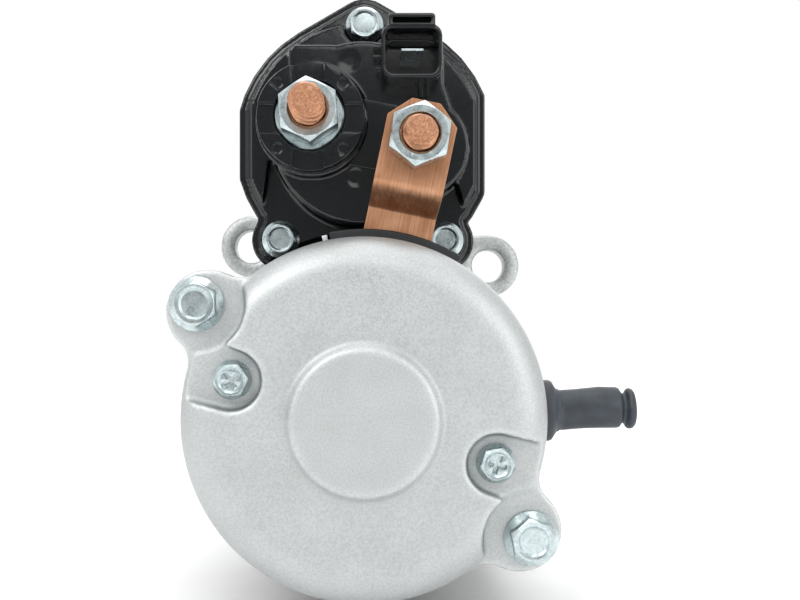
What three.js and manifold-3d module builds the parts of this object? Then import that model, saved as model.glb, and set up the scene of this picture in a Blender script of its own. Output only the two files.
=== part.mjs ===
// Starter motor with a planetary reduction gear and an offset solenoid.
// Millimetres. +Y is the motor axis, towards the pinion, +Z is up towards the solenoid,
// and +X is to the right for someone behind the motor looking along +Y.
// The origin is on the motor axis, in the plane of the flange that bolts to the engine.
import * as THREE from 'three';
import { mergeVertices } from 'three/addons/utils/BufferGeometryUtils.js';
import Module from 'manifold-3d';

const wasm = await Module();
wasm.setup();

// ---- Driving dimensions ----
const GAP = 0.3;                    // left between pieces that touch
const OVER = 1;                     // how far a cutting solid runs past the face it cuts
const ROUND = 30;                   // facets round a casing
const SMALL_ROUND = 14;             // facets round a shaft, hole or screw
const SHELL_ROUND = 36;             // facets round the rear cover and the solenoid cover
const TILT = THREE.MathUtils.degToRad;

const COVER_R = 41.2;               // rear cover's rim
const COVER_FRONT = -112;           // where rear cover and yoke part
const COVER_FACE = -133;
const BOSS_FACE = -134.8;
const SHOULDER_R = 8;
const COVER_WALL = 2.8;

const YOKE_R = 40.5;
const YOKE_BORE = 36;
const YOKE_FRONT = -58;

const BOLT_R = 45.2;                // through bolts, from the motor axis
const BOLT_ANGLES = [145, -35];
const BOLT_SEAT = -128.5;
const BOLT_EAR_R = 9.4;
const BOLT_EAR_AT = 42.2;            // ears stand a little inside their bolts
const BOLT_SHANK = 2.4;
const LIP_SWEEP = 27;               // arc of the raised lip beside each bolt ear

const HOLDER_SCREW_R = 30.6;        // brush holder screws, from the motor axis
const HOLDER_SCREW_ANGLES = [162.5, -17.5];
const HOLDER_SCREW_SEAT = -129;

const SHAFT_R = 5;
const COMMUTATOR_R = 14;
const CORE_R = 29.7;
const CORE_SLOTS = 12;

const MODULE = 1.25;                // planetary gears
const SUN_TEETH = 12;
const PLANET_TEETH = 15;
const RING_TEETH = 42;
const PLANET_ANGLES = [90, 210, 330];
const PLANET_ORBIT = MODULE * (SUN_TEETH + PLANET_TEETH) / 2;

const OUTPUT_R = 7;                 // output shaft
const SPLINE_R = 8.4;
const SPLINES = 6;

const PINION_MODULE = 2.5;
const PINION_TEETH = 11;
const PLUNGER_TRAVEL = 9;
const CLUTCH_TRAVEL = 15.75;
const GROOVE_Y = -22.25;            // middle of the fork groove at rest
const PIVOT = new THREE.Vector3(0, GROOVE_Y + CLUTCH_TRAVEL / 2, 42);

const SOLENOID_Z = 66;              // solenoid axis above the motor axis
const CASE_R = 24.2;
const CASE_FRONT = -40.5;
const CAP_MOUTH = -95;              // solenoid cover: open end, screw seats, steps
const CAP_SEAT = -100;
const CAP_STEP = -103;
const CAP_PLATFORM = -110;
const CAP_RIM_R = 32.3;
const CAP_LUG_R = 7.4;
const CAP_LEFT = -30.9;               // flats on its two sides
const CAP_RIGHT = 30.1;
const CAP_SCREWS = [[0.2, 94.8], [-20.4, 42.2], [19.9, 42]];

const BATTERY = [-12.6, 70];        // copper studs in X and Z
const MOTOR = [12.5, 63.9];
const STUD_R = 4;
const INSULATOR_R = 12.6;
const BAR_TILT = 12;                // degrees, lower end to the left
const BAR_WIDTH = 16.2;
const BAR_BACK = -122;
const BAR_THICK = 2;

const EAR_HOLES = [[-36.5, 46.3], [40.6, 40]];
const EAR_HOLE_R = 5.4;
const EAR_R = 10;
const FLANGE_BACK = -10;
const NOSE_END = 51.5;

const DRAIN = { y: -103.5, z: 0.4 };

// ---- Solids ----
const part = new THREE.Group();

function signedVolume(points, corners) {
  const [a, b, c] = [new THREE.Vector3(), new THREE.Vector3(), new THREE.Vector3()];
  let volume = 0;
  for (let i = 0; i < corners.length; i += 3) {
    a.fromArray(points, 3 * corners[i]);
    b.fromArray(points, 3 * corners[i + 1]);
    c.fromArray(points, 3 * corners[i + 2]);
    volume += a.dot(b.cross(c)) / 6;
  }
  return volume;
}

// A closed solid with its faces outwards, from a three.js geometry.
function solid(geometry) {
  const shell = geometry.clone();
  shell.deleteAttribute('normal');
  shell.deleteAttribute('uv');
  const merged = mergeVertices(shell);
  const points = merged.attributes.position.array;
  const corners = [];
  for (let i = 0; i < merged.index.count; i += 3) {
    const [a, b, c] = merged.index.array.slice(i, i + 3);
    if (a !== b && b !== c && c !== a) corners.push(a, b, c);
  }
  if (signedVolume(points, corners) < 0) corners.reverse();
  return new wasm.Manifold(new wasm.Mesh({
    numProp: 3,
    vertProperties: new Float32Array(points),
    triVerts: new Uint32Array(corners),
  }));
}

function surface(body) {
  const { vertProperties, triVerts } = body.getMesh();
  const geometry = new THREE.BufferGeometry();
  geometry.setAttribute('position', new THREE.BufferAttribute(vertProperties, 3));
  geometry.setIndex(new THREE.BufferAttribute(triVerts, 1));
  geometry.computeVertexNormals();
  return geometry;
}

const joined = (...bodies) => bodies.reduce((whole, body) => whole.add(body));
const cut = (body, ...tools) => tools.reduce((rest, tool) => rest.subtract(tool), body);

// Adds a named piece to the starter, or to a group of it.
function piece(name, body, material, parent = part) {
  const mesh = new THREE.Mesh(surface(body), material());
  mesh.name = name;
  parent.add(mesh);
  return mesh;
}

// A turned piece: a closed profile of [radius, y] about the line X = x, Z = z.
function turned(profile, [x, z] = [0, 0], facets = ROUND) {
  const points = profile.map(([r, y]) => new THREE.Vector2(r, y));
  if (profile[0][0] > 0) points.push(points[0].clone());
  return solid(new THREE.LatheGeometry(points, facets).translate(x, 0, z));
}

function rod(radius, y0, y1, [x, z] = [0, 0], facets = SMALL_ROUND) {
  const geometry = new THREE.CylinderGeometry(radius, radius, y1 - y0, facets);
  return solid(geometry.translate(x, (y0 + y1) / 2, z));
}

function tube(inner, outer, y0, y1, centre = [0, 0], facets = ROUND) {
  return turned([[inner, y0], [outer, y0], [outer, y1], [inner, y1]], centre, facets);
}

function block([x0, x1], [y0, y1], [z0, z1]) {
  const geometry = new THREE.BoxGeometry(x1 - x0, y1 - y0, z1 - z0);
  return solid(geometry.translate((x0 + x1) / 2, (y0 + y1) / 2, (z0 + z1) / 2));
}

// An outline in X and Z, as thick as y0 to y1, turned by an angle in degrees and then moved.
function slab(outline, y0, y1, { turn = 0, move = [0, 0], steps = 3 } = {}) {
  const settings = { depth: y1 - y0, bevelEnabled: false, curveSegments: steps };
  const geometry = new THREE.ExtrudeGeometry(outline, settings).rotateZ(TILT(turn));
  geometry.rotateX(Math.PI / 2).translate(move[0], y1, move[1]);
  return solid(geometry);
}

const polar = (radius, degrees) => [
  radius * Math.cos(TILT(degrees)), radius * Math.sin(TILT(degrees)),
];

const outlineOf = (points) => new THREE.Shape(points.map(([x, y]) => new THREE.Vector2(x, y)));

// A sector of a ring, from one angle to another in degrees.
function sector(inner, outer, from, to) {
  const shape = new THREE.Shape();
  shape.absarc(0, 0, outer, TILT(from), TILT(to), false);
  shape.absarc(0, 0, inner, TILT(to), TILT(from), true);
  shape.closePath();
  return shape;
}

// An ear of radius r, its centre at distance d along +X, which runs into a disc of radius R
// through two hollow fillets of radius f.
function earOutline(R, r, d, f) {
  const x = ((R + f) ** 2 - (r + f) ** 2 + d ** 2) / (2 * d);
  const y = Math.sqrt((R + f) ** 2 - x ** 2);
  const atDisc = Math.atan2(y, x);
  const atEar = Math.atan2(y, x - d);
  const shape = new THREE.Shape();
  shape.moveTo(0, 0);
  shape.lineTo(R * Math.cos(atDisc), -R * Math.sin(atDisc));
  shape.absarc(x, -y, f, Math.PI - atDisc, Math.PI - atEar, true);
  shape.absarc(d, 0, r, -atEar, atEar, false);
  shape.absarc(x, y, f, atEar - Math.PI, atDisc - Math.PI, true);
  shape.closePath();
  return shape;
}

// The hull of a disc of radius R at the origin and a smaller one of radius r at distance d on +X.
function taperOutline(R, r, d) {
  const lean = Math.acos((R - r) / d);
  const shape = new THREE.Shape();
  shape.absarc(d, 0, r, -lean, lean, false);
  shape.absarc(0, 0, R, lean, 2 * Math.PI - lean, false);
  shape.closePath();
  return shape;
}

// A gear's outline with involute flanks. Backlash is taken off each tooth's thickness.
function gearOutline(teeth, module, tip, root, backlash, onPitch = true) {
  const pitch = module * teeth / 2;
  const pressure = TILT(25);
  const base = pitch * Math.cos(pressure);
  const roll = (angle) => Math.tan(angle) - angle;
  const half = (r) => {
    const angle = r > base ? Math.acos(base / r) : 0;
    return Math.PI / (2 * teeth) - backlash / (2 * pitch) + roll(pressure) - roll(angle);
  };
  const radii = onPitch ? [root, pitch, tip] : [root, tip];
  const points = [];
  for (let tooth = 0; tooth < teeth; tooth += 1) {
    const middle = 2 * Math.PI * tooth / teeth;
    for (const r of radii) {
      const angle = middle - half(r);
      points.push([r * Math.cos(angle), r * Math.sin(angle)]);
    }
    for (const r of radii.toReversed()) {
      const angle = middle + half(r);
      points.push([r * Math.cos(angle), r * Math.sin(angle)]);
    }
  }
  return outlineOf(points);
}

// Straight splines: so many square teeth between two radii, each a share of its pitch wide.
function splineOutline(count, root, tip, share) {
  const points = [];
  for (let tooth = 0; tooth < count; tooth += 1) {
    const middle = 360 * tooth / count;
    const half = 180 * share / count;
    const foot = 180 * (1 - share) / count;
    points.push(polar(root, middle - half), polar(tip, middle - half));
    points.push(polar(tip, middle + half), polar(root, middle + half));
    points.push(polar(root, middle + half + foot));
  }
  return outlineOf(points);
}

class Helix extends THREE.Curve {
  constructor(radius, length, turns) {
    super();
    Object.assign(this, { radius, length, turns });
  }

  getPoint(t, target = new THREE.Vector3()) {
    const angle = 2 * Math.PI * this.turns * t;
    return target.set(this.radius * Math.cos(angle), this.length * t, this.radius * Math.sin(angle));
  }
}

// A coil spring about +Y that starts at y = 0.
function coil(radius, wire, length, turns, facets = 7) {
  const inner = length - 2 * wire;
  const section = new THREE.Shape();
  section.absarc(0, 0, wire / 2 * 1.02, 0, 2 * Math.PI, false);
  const settings = {
    steps: Math.round(turns * facets), curveSegments: 2, bevelEnabled: false,
    extrudePath: new Helix(radius, inner, turns),
  };
  return solid(new THREE.ExtrudeGeometry(section, settings).translate(0, wire, 0));
}

// ---- Materials ----
const metal = (color, roughness) => () => (
  new THREE.MeshStandardMaterial({ color, roughness, metalness: 1 })
);
const plain = (color, roughness) => () => (
  new THREE.MeshStandardMaterial({ color, roughness, metalness: 0 })
);
const castAluminium = metal(0xc4c7c7, 0.6);
const blastedAluminium = metal(0xc6c9c9, 0.55);
const zinc = metal(0xb6c6ca, 0.3);
const steel = metal(0x9a9c9e, 0.35);
const laminations = metal(0x6f7072, 0.5);
const copper = metal(0xb97f5c, 0.35);
const bronze = metal(0xa9824a, 0.45);
const paintedSteel = plain(0x2a2b2d, 0.5);
const blackPlastic = plain(0x1c2024, 0.25);
const brownPlastic = plain(0x4a3a2c, 0.5);
const carbon = plain(0x2b2b2e, 0.6);
const ferrite = plain(0x3a3b3d, 0.7);
const rubber = plain(0x3e464f, 0.7);

// ---- Fasteners: axis along Y, seat at y = 0, head towards -Y ----
function hexagon(flat, y0, y1) {
  return rod(flat / Math.sqrt(3), y0, y1, [0, 0], 6);
}

// A hexagonal head or nut body whose corners are chamfered on the -Y side.
function chamferedHexagon(flat, y0, y1) {
  const corner = flat / Math.sqrt(3);
  const chamfer = (corner - flat / 2) * 1.1;
  const bell = [[0, y0], [flat / 2 * 0.97, y0], [corner, y0 + chamfer], [corner + 1, y0 + chamfer]];
  return hexagon(flat, y0, y1).intersect(turned([...bell, [corner + 1, y1], [0, y1]], [0, 0], 18));
}

function flangeScrew({ flat, flange, height, shank, length, crossed }) {
  const skirt = [[0, -height / 2], [flat / 2, -height / 2], [flange, -0.9], [flange, 0], [0, 0]];
  const head = joined(
    turned(skirt, [0, 0], SMALL_ROUND),
    chamferedHexagon(flat, -height, -height / 4),
    rod(shank, -0.5, length, [0, 0], 10),
  );
  if (!crossed) return head;
  const [arm, half] = [flat * 0.3, flat * 0.07];
  return cut(
    head,
    block([-arm, arm], [-height - OVER, -height + 1.6], [-half, half]),
    block([-half, half], [-height - OVER, -height + 1.6], [-arm, arm]),
  );
}

function nut(flat, height, hole) {
  return cut(
    chamferedHexagon(flat, -height, 0),
    rod(hole, -height - OVER, OVER),
    turned([[0, -height - OVER], [hole + 1.6, -height - OVER], [hole, -height + 0.6], [0, -height + 0.6]],
      [0, 0], SMALL_ROUND),
  );
}

// ---- Rear cover, yoke and through bolts ----
const arcPoints = (centre, radius, from, to, steps) => (
  Array.from({ length: steps + 1 }, (_, i) => {
    const [r, y] = polar(radius, from + (to - from) * i / steps);
    return [centre[0] + r, centre[1] + y];
  })
);

function rearCover() {
  const crown = [COVER_R - SHOULDER_R, COVER_FACE + SHOULDER_R];
  const shell = turned([
    [0, BOSS_FACE], [15.9, BOSS_FACE], [17.4, COVER_FACE],
    ...arcPoints(crown, SHOULDER_R, 270, 360, 6),
    [COVER_R, COVER_FRONT], [COVER_R - COVER_WALL, COVER_FRONT],
    [COVER_R - COVER_WALL - 2, COVER_FRONT - 11], [29, COVER_FACE + 3], [14, COVER_FACE + 3],
    [14, -124.3], [11.1, -124.3], [11.1, -132], [0, -132],
  ]);
  const ears = BOLT_ANGLES.map((angle) => {
    const outline = earOutline(COVER_R - 0.4, BOLT_EAR_R, BOLT_EAR_AT, 6);
    const hollow = rod(COVER_R - COVER_WALL, BOLT_SEAT - OVER, COVER_FRONT + OVER, [0, 0], ROUND);
    return cut(slab(outline, BOLT_SEAT, COVER_FRONT, { turn: angle, steps: 3 }), hollow);
  });
  const lips = BOLT_ANGLES.map((angle, i) => {
    const [from, to] = i ? [angle - LIP_SWEEP, angle] : [angle, angle + LIP_SWEEP];
    const outline = sector(COVER_R - 1, COVER_R + 0.8, from, to);
    return slab(outline, COVER_FRONT - 2.5, COVER_FRONT);
  });
  const bosses = HOLDER_SCREW_ANGLES.map((angle) => (
    rod(8.6, HOLDER_SCREW_SEAT - 2, -125.2, polar(HOLDER_SCREW_R, angle))
  ));
  const boltPockets = BOLT_ANGLES.flatMap((angle) => [
    rod(11, BOSS_FACE - OVER, BOLT_SEAT, polar(BOLT_R, angle)),
    rod(BOLT_SHANK + 0.5, BOLT_SEAT - OVER, COVER_FRONT + OVER, polar(BOLT_R, angle), 12),
  ]);
  const screwPockets = HOLDER_SCREW_ANGLES.flatMap((angle) => {
    const slot = new THREE.Shape();
    slot.absarc(0, 0, 6.8, Math.PI / 2, 3 * Math.PI / 2, false);
    slot.lineTo(14, -7.2);
    slot.lineTo(14, 7.2);
    slot.closePath();
    const move = polar(HOLDER_SCREW_R, angle);
    return [
      slab(slot, COVER_FACE - OVER, HOLDER_SCREW_SEAT, { turn: angle, move, steps: 3 }),
      rod(2.4, HOLDER_SCREW_SEAT - 2 * OVER, -120, move, 12),
    ];
  });
  return cut(joined(shell, ...ears, ...lips, ...bosses), ...boltPockets, ...screwPockets,
    leadOpening());
}

const yokeSolid = () => cut(
  tube(YOKE_BORE, YOKE_R, COVER_FRONT + GAP, YOKE_FRONT - GAP),
  leadOpening(),
  solid(new THREE.CylinderGeometry(4.8, 4.8, 12, SMALL_ROUND).rotateZ(Math.PI / 2)
    .translate(YOKE_R, DRAIN.y, DRAIN.z)),
);

// The notch that the motor lead's grommet fills, shared by the rear cover and the yoke.
const LEAD_ANGLES = [57.7, 101.3];
const leadOpening = () => slab(sector(34, 46, ...LEAD_ANGLES), -116, -108, { steps: 4 });

function grommetSolid() {
  const [from, to] = LEAD_ANGLES;
  const body = slab(sector(36.6, 43.8, from + 0.6, to - 0.6), -115.7, -108.3, { steps: 4 });
  return cut(body, leadBarSolid(GAP));
}

// An outline in Z and Y (in that order), as wide as given along X, centred on X = 0.
function profileSlab(outline, width) {
  const swap = new THREE.Matrix4().makeBasis(
    new THREE.Vector3(0, 0, 1), new THREE.Vector3(0, 1, 0), new THREE.Vector3(1, 0, 0),
  );
  const geometry = new THREE.ExtrudeGeometry(outline, { depth: width, bevelEnabled: false });
  return geometry.translate(0, 0, -width / 2).applyMatrix4(swap);
}

// The copper bar from the solenoid's motor stud down into the motor, larger all round by grow.
function leadBarSolid(grow = 0) {
  const [top, bend, foot, end] = [8.7, -12, -16, -31];
  const [back, front] = [BAR_BACK - grow, BAR_BACK + BAR_THICK + grow];
  const [innerBack, innerFront] = [back + 8.5, front + 8.5];
  const side = outlineOf([
    [top, back], [bend, back], [foot, innerBack], [end - grow, innerBack],
    [end - grow, innerFront], [foot - 0.7, innerFront], [bend - 0.7, front], [top, front],
  ]);
  const half = BAR_WIDTH / 2 + grow;
  const face = outlineOf([
    [-half, end - 2], [half, end - 2], [half, 3.9], [3.1, top - 0.1], [-3.1, top - 0.1], [-half, 3.9],
  ]);
  const place = (geometry) => solid(geometry.rotateY(TILT(BAR_TILT)).translate(MOTOR[0], 0, MOTOR[1]));
  const outline = new THREE.ExtrudeGeometry(face, { depth: 30, bevelEnabled: false });
  outline.rotateX(Math.PI / 2).translate(0, -100, 0);
  return cut(
    place(profileSlab(side, 2 * half)).intersect(place(outline)),
    rod(STUD_R + GAP, -130, -115, MOTOR),
  );
}

function throughBolt() {
  return flangeScrew({ flat: 9, flange: 6.1, height: 4.5, shank: BOLT_SHANK, length: 84 });
}

// ---- Motor: magnets, armature, commutator, bearing, brushes ----
function armatureCore() {
  const points = [];
  const pitch = 360 / CORE_SLOTS;
  for (let slot = 0; slot < CORE_SLOTS; slot += 1) {
    const middle = slot * pitch;
    points.push(polar(CORE_R, middle - pitch * 0.36), polar(CORE_R, middle));
    points.push(polar(CORE_R, middle + pitch * 0.36), polar(17, middle + pitch * 0.3));
    points.push(polar(17, middle + pitch * 0.7));
  }
  return cut(slab(outlineOf(points), -100, -68), rod(SHAFT_R + GAP, -101, -67));
}

function armatureWindings() {
  const pitch = 360 / CORE_SLOTS;
  const bars = Array.from({ length: CORE_SLOTS }, (_, slot) => {
    const [from, to] = [pitch * (slot + 0.5) - 3, pitch * (slot + 0.5) + 3];
    return slab(sector(18, 27, from, to), -102, -66, { steps: 2 });
  });
  const rear = tube(8, 27.4, -104.6, -100.4, [0, 0], 20);
  const front = turned([[8, -67.6], [27.4, -67.6], [26, -64], [12, -63]], [0, 0], 20);
  return joined(rear, front, ...bars);
}

function armatureShaft() {
  const sun = gearOutline(SUN_TEETH, MODULE, 8.6, 6.05, 0.3);
  return joined(
    turned([[0, -130.8], [3.9, -130.8], [3.9, -122.6], [SHAFT_R, -122.6], [SHAFT_R, -58], [0, -58]],
      [0, 0], SMALL_ROUND),
    slab(sun, -58.5, -44.7, { turn: 90 }),
    rod(4.2, -45, -38.6),
  );
}

function bearingRace() {
  const balls = Array.from({ length: 7 }, (_, i) => {
    const [x, z] = polar(7.6, 360 * i / 7);
    return solid(new THREE.SphereGeometry(1.3, 6, 4).translate(x, -127.5, z));
  });
  return joined(tube(4.2, 6, -131, -124.4, [0, 0], 18), tube(5.8, 7.8, -127.9, -127.1, [0, 0], 18),
    ...balls);
}

const BRUSH_ANGLES = [45, 135, 225, 315];
const HOLDER = { plateBack: -124.9, plateFront: -123.2, front: -106.5, inner: 15.9, outer: 31.6 };

// A box that points outwards from the motor axis, at an angle in degrees.
function radialBlock(inner, outer, y, halfWidth, angle) {
  const outline = outlineOf([
    [inner, -halfWidth], [outer, -halfWidth], [outer, halfWidth], [inner, halfWidth],
  ]);
  return slab(outline, y[0], y[1], { turn: angle });
}

function brushHolder() {
  const { plateBack, plateFront, front, inner, outer } = HOLDER;
  const boxes = BRUSH_ANGLES.map((angle) => (
    radialBlock(inner, outer, [plateFront - 0.5, front], 4.6, angle)
  ));
  const wells = BRUSH_ANGLES.map((angle) => (
    radialBlock(inner - OVER, outer - 1.4, [plateFront, front - 1.4], 3.4, angle)
  ));
  const holes = HOLDER_SCREW_ANGLES.map((angle) => (
    rod(2.4, plateBack - OVER, plateFront + OVER, polar(HOLDER_SCREW_R, angle), 12)
  ));
  return cut(joined(tube(16, 33.4, plateBack, plateFront), ...boxes), ...wells, ...holes);
}

const brushSolid = (angle) => radialBlock(COMMUTATOR_R + GAP, 24, [-122.6, -108.4], 3.1, angle);

function brushSpring(angle) {
  const spring = coil(2.1, 0.6, 5.6, 3);
  return solid(new THREE.BufferGeometry().copy(surface(spring)).rotateZ(-Math.PI / 2)
    .translate(24.3, -115.5, 0).rotateY(-TILT(angle)));
}

// ---- Planetary gears and output shaft ----
const PLANET_TIP = 10.45;
const CARRIER = [-43.7, -39];

const planetSolid = () => cut(
  slab(gearOutline(PLANET_TEETH, MODULE, PLANET_TIP, 7.75, 0.3), -56, -45),
  rod(3.3, -57, -44),
);

function ringGear() {
  const teeth = gearOutline(RING_TEETH, MODULE, 27.75, 25.15, -0.3, false);
  const hole = slab(teeth, -58, -44, { turn: 90 });
  return cut(rod(34.3, -57.4, -44.4, [0, 0], ROUND), hole);
}

function outputShaft() {
  const pins = PLANET_ANGLES.map((angle) => rod(3, -56.4, -43, polar(PLANET_ORBIT, angle)));
  return cut(
    joined(
      rod(24, ...CARRIER, [0, 0], ROUND),
      rod(OUTPUT_R, -40, 49),
      slab(splineOutline(SPLINES, OUTPUT_R - 0.2, SPLINE_R, 0.45), -28.5, 2.8),
      ...pins,
    ),
    rod(4.5, -44, -37.5),
  );
}

const centreBracket = () => turned([
  [OUTPUT_R + GAP, -38], [34.3, -38], [34.3, -33], [12, -33], [12, -30], [OUTPUT_R + GAP, -30],
]);

// ---- Clutch, pinion and their stop ----
function clutchShell() {
  const body = turned([
    [SPLINE_R + 0.4, -27], [15.5, -27], [15.5, -25], [10.8, -25], [10.8, -19.5], [15.5, -19.5],
    [15.5, -17.3], [20.5, -17.3], [20.5, -3.6], [17.3, -3.6], [17.3, -13], [SPLINE_R + 0.4, -13],
  ]);
  const grip = cut(
    rod(SPLINE_R + 0.6, -27, -13),
    slab(splineOutline(SPLINES, OUTPUT_R + 0.4, SPLINE_R + 0.4, 0.6), -28, -12),
  );
  return joined(body, grip);
}

function clutchRollers() {
  const rollers = Array.from({ length: 5 }, (_, i) => rod(2.6, -12.4, -5, polar(14.4, 72 * i), 10));
  return joined(tube(13.6, 15.2, -9.2, -8.2, [0, 0], 20), ...rollers);
}

function pinionSolid() {
  const outline = gearOutline(PINION_TEETH, PINION_MODULE, 16.3, 10.7, 0.3);
  const nose = turned([[0, -1.8], [16.8, -1.8], [16.8, 14.2], [14.6, 16], [0, 16]]);
  return cut(
    joined(rod(11.5, -12.4, -1, [0, 0], ROUND), slab(outline, -1.8, 12).intersect(nose)),
    turned([[0, -14], [SPLINE_R + 0.4, -14], [SPLINE_R + 0.4, 4], [OUTPUT_R + 0.4, 4], [OUTPUT_R + 0.4, 17],
      [0, 17]], [0, 0], 20),
  );
}

// ---- Shift lever, which turns about its own origin and stands upright before it is tilted ----
const LEVER_REST = Math.atan2(CLUTCH_TRAVEL / 2, PIVOT.z);
const LEVER_FOOT = -Math.hypot(CLUTCH_TRAVEL / 2, PIVOT.z);
const LEVER_TOP = Math.hypot(PLUNGER_TRAVEL / 2, SOLENOID_Z - PIVOT.z);

const crossRod = (radius, x0, x1, y, z, facets = SMALL_ROUND) => solid(
  new THREE.CylinderGeometry(radius, radius, x1 - x0, facets).rotateZ(Math.PI / 2)
    .translate((x0 + x1) / 2, y, z),
);

function shiftLever() {
  const thin = [-1.8, 1.8];
  const arm = (side) => [
    block([side * 17.8 - 1.8, side * 17.8 + 1.8], thin, [LEVER_FOOT - 3, -14]),
    crossRod(2.3, side > 0 ? 11.3 : -17, side > 0 ? 17 : -11.3, 0, LEVER_FOOT),
  ];
  return cut(
    joined(
      block([-19.6, 19.6], thin, [-19, -13]),
      block([-8, 8], thin, [-14, 14]),
      block([-3.9, 3.9], thin, [13, LEVER_TOP]),
      crossRod(6, -8, 8, 0, 0),
      crossRod(3, -3.9, 3.9, 0, LEVER_TOP),
      ...arm(1), ...arm(-1),
    ),
    crossRod(3.3, -9, 9, 0, 0),
  );
}

// ---- Drive housing ----
function driveHousing() {
  const upper = (halfWidth, low, high, y) => block([-halfWidth, halfWidth], y, [low, high]);
  const outer = joined(
    turned([
      [0, -57.7], [41, -57.7], [41, -30], [37, -18], [37, 6], [33, 12], [22, 36], [15.5, 41],
      [14, NOSE_END], [0, NOSE_END],
    ]),
    rod(46, FLANGE_BACK, 0, [0, 0], ROUND),
    ...EAR_HOLES.map(([x, z]) => {
      const outline = earOutline(44, EAR_R, Math.hypot(x, z), 7);
      return slab(outline, FLANGE_BACK, 0, { turn: THREE.MathUtils.radToDeg(Math.atan2(z, x)) });
    }),
    block([16, EAR_HOLES[1][0]], [FLANGE_BACK, 0], [34, EAR_HOLES[1][1] + EAR_R]),
    upper(24, 0, 40, [-40, -1]),
    upper(19, 38, 66, [-40, -1]),
    rod(CASE_R, -40, -28, [0, SOLENOID_Z], ROUND),
    rod(19, -30, -1, [0, SOLENOID_Z], ROUND),
    ...[-1, 1].map((side) => rod(6.5, -40, -28, [side * 28.5, SOLENOID_Z])),
    ...BOLT_ANGLES.map((angle) => (
      slab(earOutline(38, 7.5, BOLT_R, 5), -57.7, -36, { turn: angle, steps: 4 })
    )),
  );
  return cut(
    outer,
    rod(35, -60, -30, [0, 0], ROUND),
    rod(30, -31, -2, [0, 0], ROUND),
    turned([[0, -3], [30, -3], [30, 8], [18, 34], [18, 38], [0, 38]]),
    rod(9.4, 37, 49.4),
    upper(20.8, 0, 36, [-29.6, -3.6]),
    upper(15.2, 26, SOLENOID_Z, [-38, -3.6]),
    rod(15.2, -38, -3.6, [0, SOLENOID_Z], 24),
    rod(12.8, -41, -37, [0, SOLENOID_Z], 22),
    crossRod(3.3, -17.6, 17.6, PIVOT.y, PIVOT.z),
    block([-23, 23], [2, 34], [-50, -9]),
    ...EAR_HOLES.map((hole) => rod(EAR_HOLE_R, FLANGE_BACK - OVER, OVER, hole)),
    ...BOLT_ANGLES.map((angle) => rod(BOLT_SHANK + 0.5, -60, -43, polar(BOLT_R, angle), 12)),
  );
}

// ---- Solenoid ----
const SOLENOID = [0, SOLENOID_Z];

// The solenoid cover's outline, with its three screw lugs, between two depths.
function capOutline(y0, y1, inset = 0) {
  const [rim, lug] = [CAP_RIM_R - inset, CAP_LUG_R - inset];
  const [top, ...low] = CAP_SCREWS;
  const disc = slab(taperOutline(rim, lug, top[1] - SOLENOID_Z), y0, y1, {
    turn: 90, move: [top[0], SOLENOID_Z], steps: 3,
  }).intersect(block([CAP_LEFT + inset, CAP_RIGHT - inset], [y0 - OVER, y1 + OVER], [20, 110]));
  const lugs = low.map(([x, z]) => (
    slab(earOutline(rim - 1.5, lug, Math.hypot(x, z - SOLENOID_Z), 5 + inset), y0, y1, {
      turn: THREE.MathUtils.radToDeg(Math.atan2(z - SOLENOID_Z, x)), move: SOLENOID, steps: 3,
    })
  ));
  return cut(joined(disc, ...lugs), rod(43, y0 - OVER, y1 + OVER, [0, 0], SHELL_ROUND));
}

const SOCKET = { x: [4, 18], z: [78, 90.3], wall: 0.9, back: -120, floor: -108 };
const BLADE = { x: 11.2, z: 84.7, width: 6, thick: 0.8 };

function solenoidCover() {
  const { x, z, wall, back, floor } = SOCKET;
  const inside = (range) => [range[0] + wall, range[1] - wall];
  const solids = joined(
    capOutline(CAP_SEAT, CAP_MOUTH),
    rod(CAP_RIM_R - 2.4, CAP_STEP, CAP_SEAT, SOLENOID, SHELL_ROUND).intersect(
      block([CAP_LEFT + 3, CAP_RIGHT - 3], [-110, -90], [40, 92]),
    ),
    rod(21.9, CAP_PLATFORM, CAP_SEAT, [-0.2, 66.9], SHELL_ROUND),
    block([-19, -6], [CAP_PLATFORM, CAP_SEAT], [72, 87.6]),
    rod(INSULATOR_R, -118, CAP_SEAT, [-12.4, 69.6], ROUND),
    rod(11.4, -113, CAP_SEAT, MOTOR, 24),
    rod(8, -119.7, CAP_SEAT, MOTOR, 24),
    block(x, [back, CAP_SEAT], z),
    block([5.6, 16.4], [back, -112], [90, 92.8]),
  );
  return cut(
    solids,
    rod(8.4, -119, -115.2, BATTERY),
    block([BATTERY[0] - 4.2, BATTERY[0] + 4.2], [-119, -116.4], [50, 90]),
    block([-30, 4], [-119, -116.4], [66.6, 72.8]),
    block(inside(x), [back - OVER, floor], inside(z)),
    block([BLADE.x - 3.3, BLADE.x + 3.3], [floor - OVER, floor + 2], [BLADE.z - 0.7, BLADE.z + 0.7]),
    rod(20.4, -105.5, CAP_MOUTH + OVER, SOLENOID, 30),
    rod(43, CAP_STEP - OVER, CAP_MOUTH + OVER, [0, 0], SHELL_ROUND),
    ...[BATTERY, MOTOR].map((stud) => rod(STUD_R + GAP, -121, -104, stud)),
    ...CAP_SCREWS.map((screw) => rod(2.4, CAP_SEAT - OVER, CAP_MOUTH + OVER, screw, 12)),
    ...CAP_SCREWS.map((screw) => rod(6, CAP_STEP - 3, CAP_SEAT, screw)),
  );
}

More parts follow.
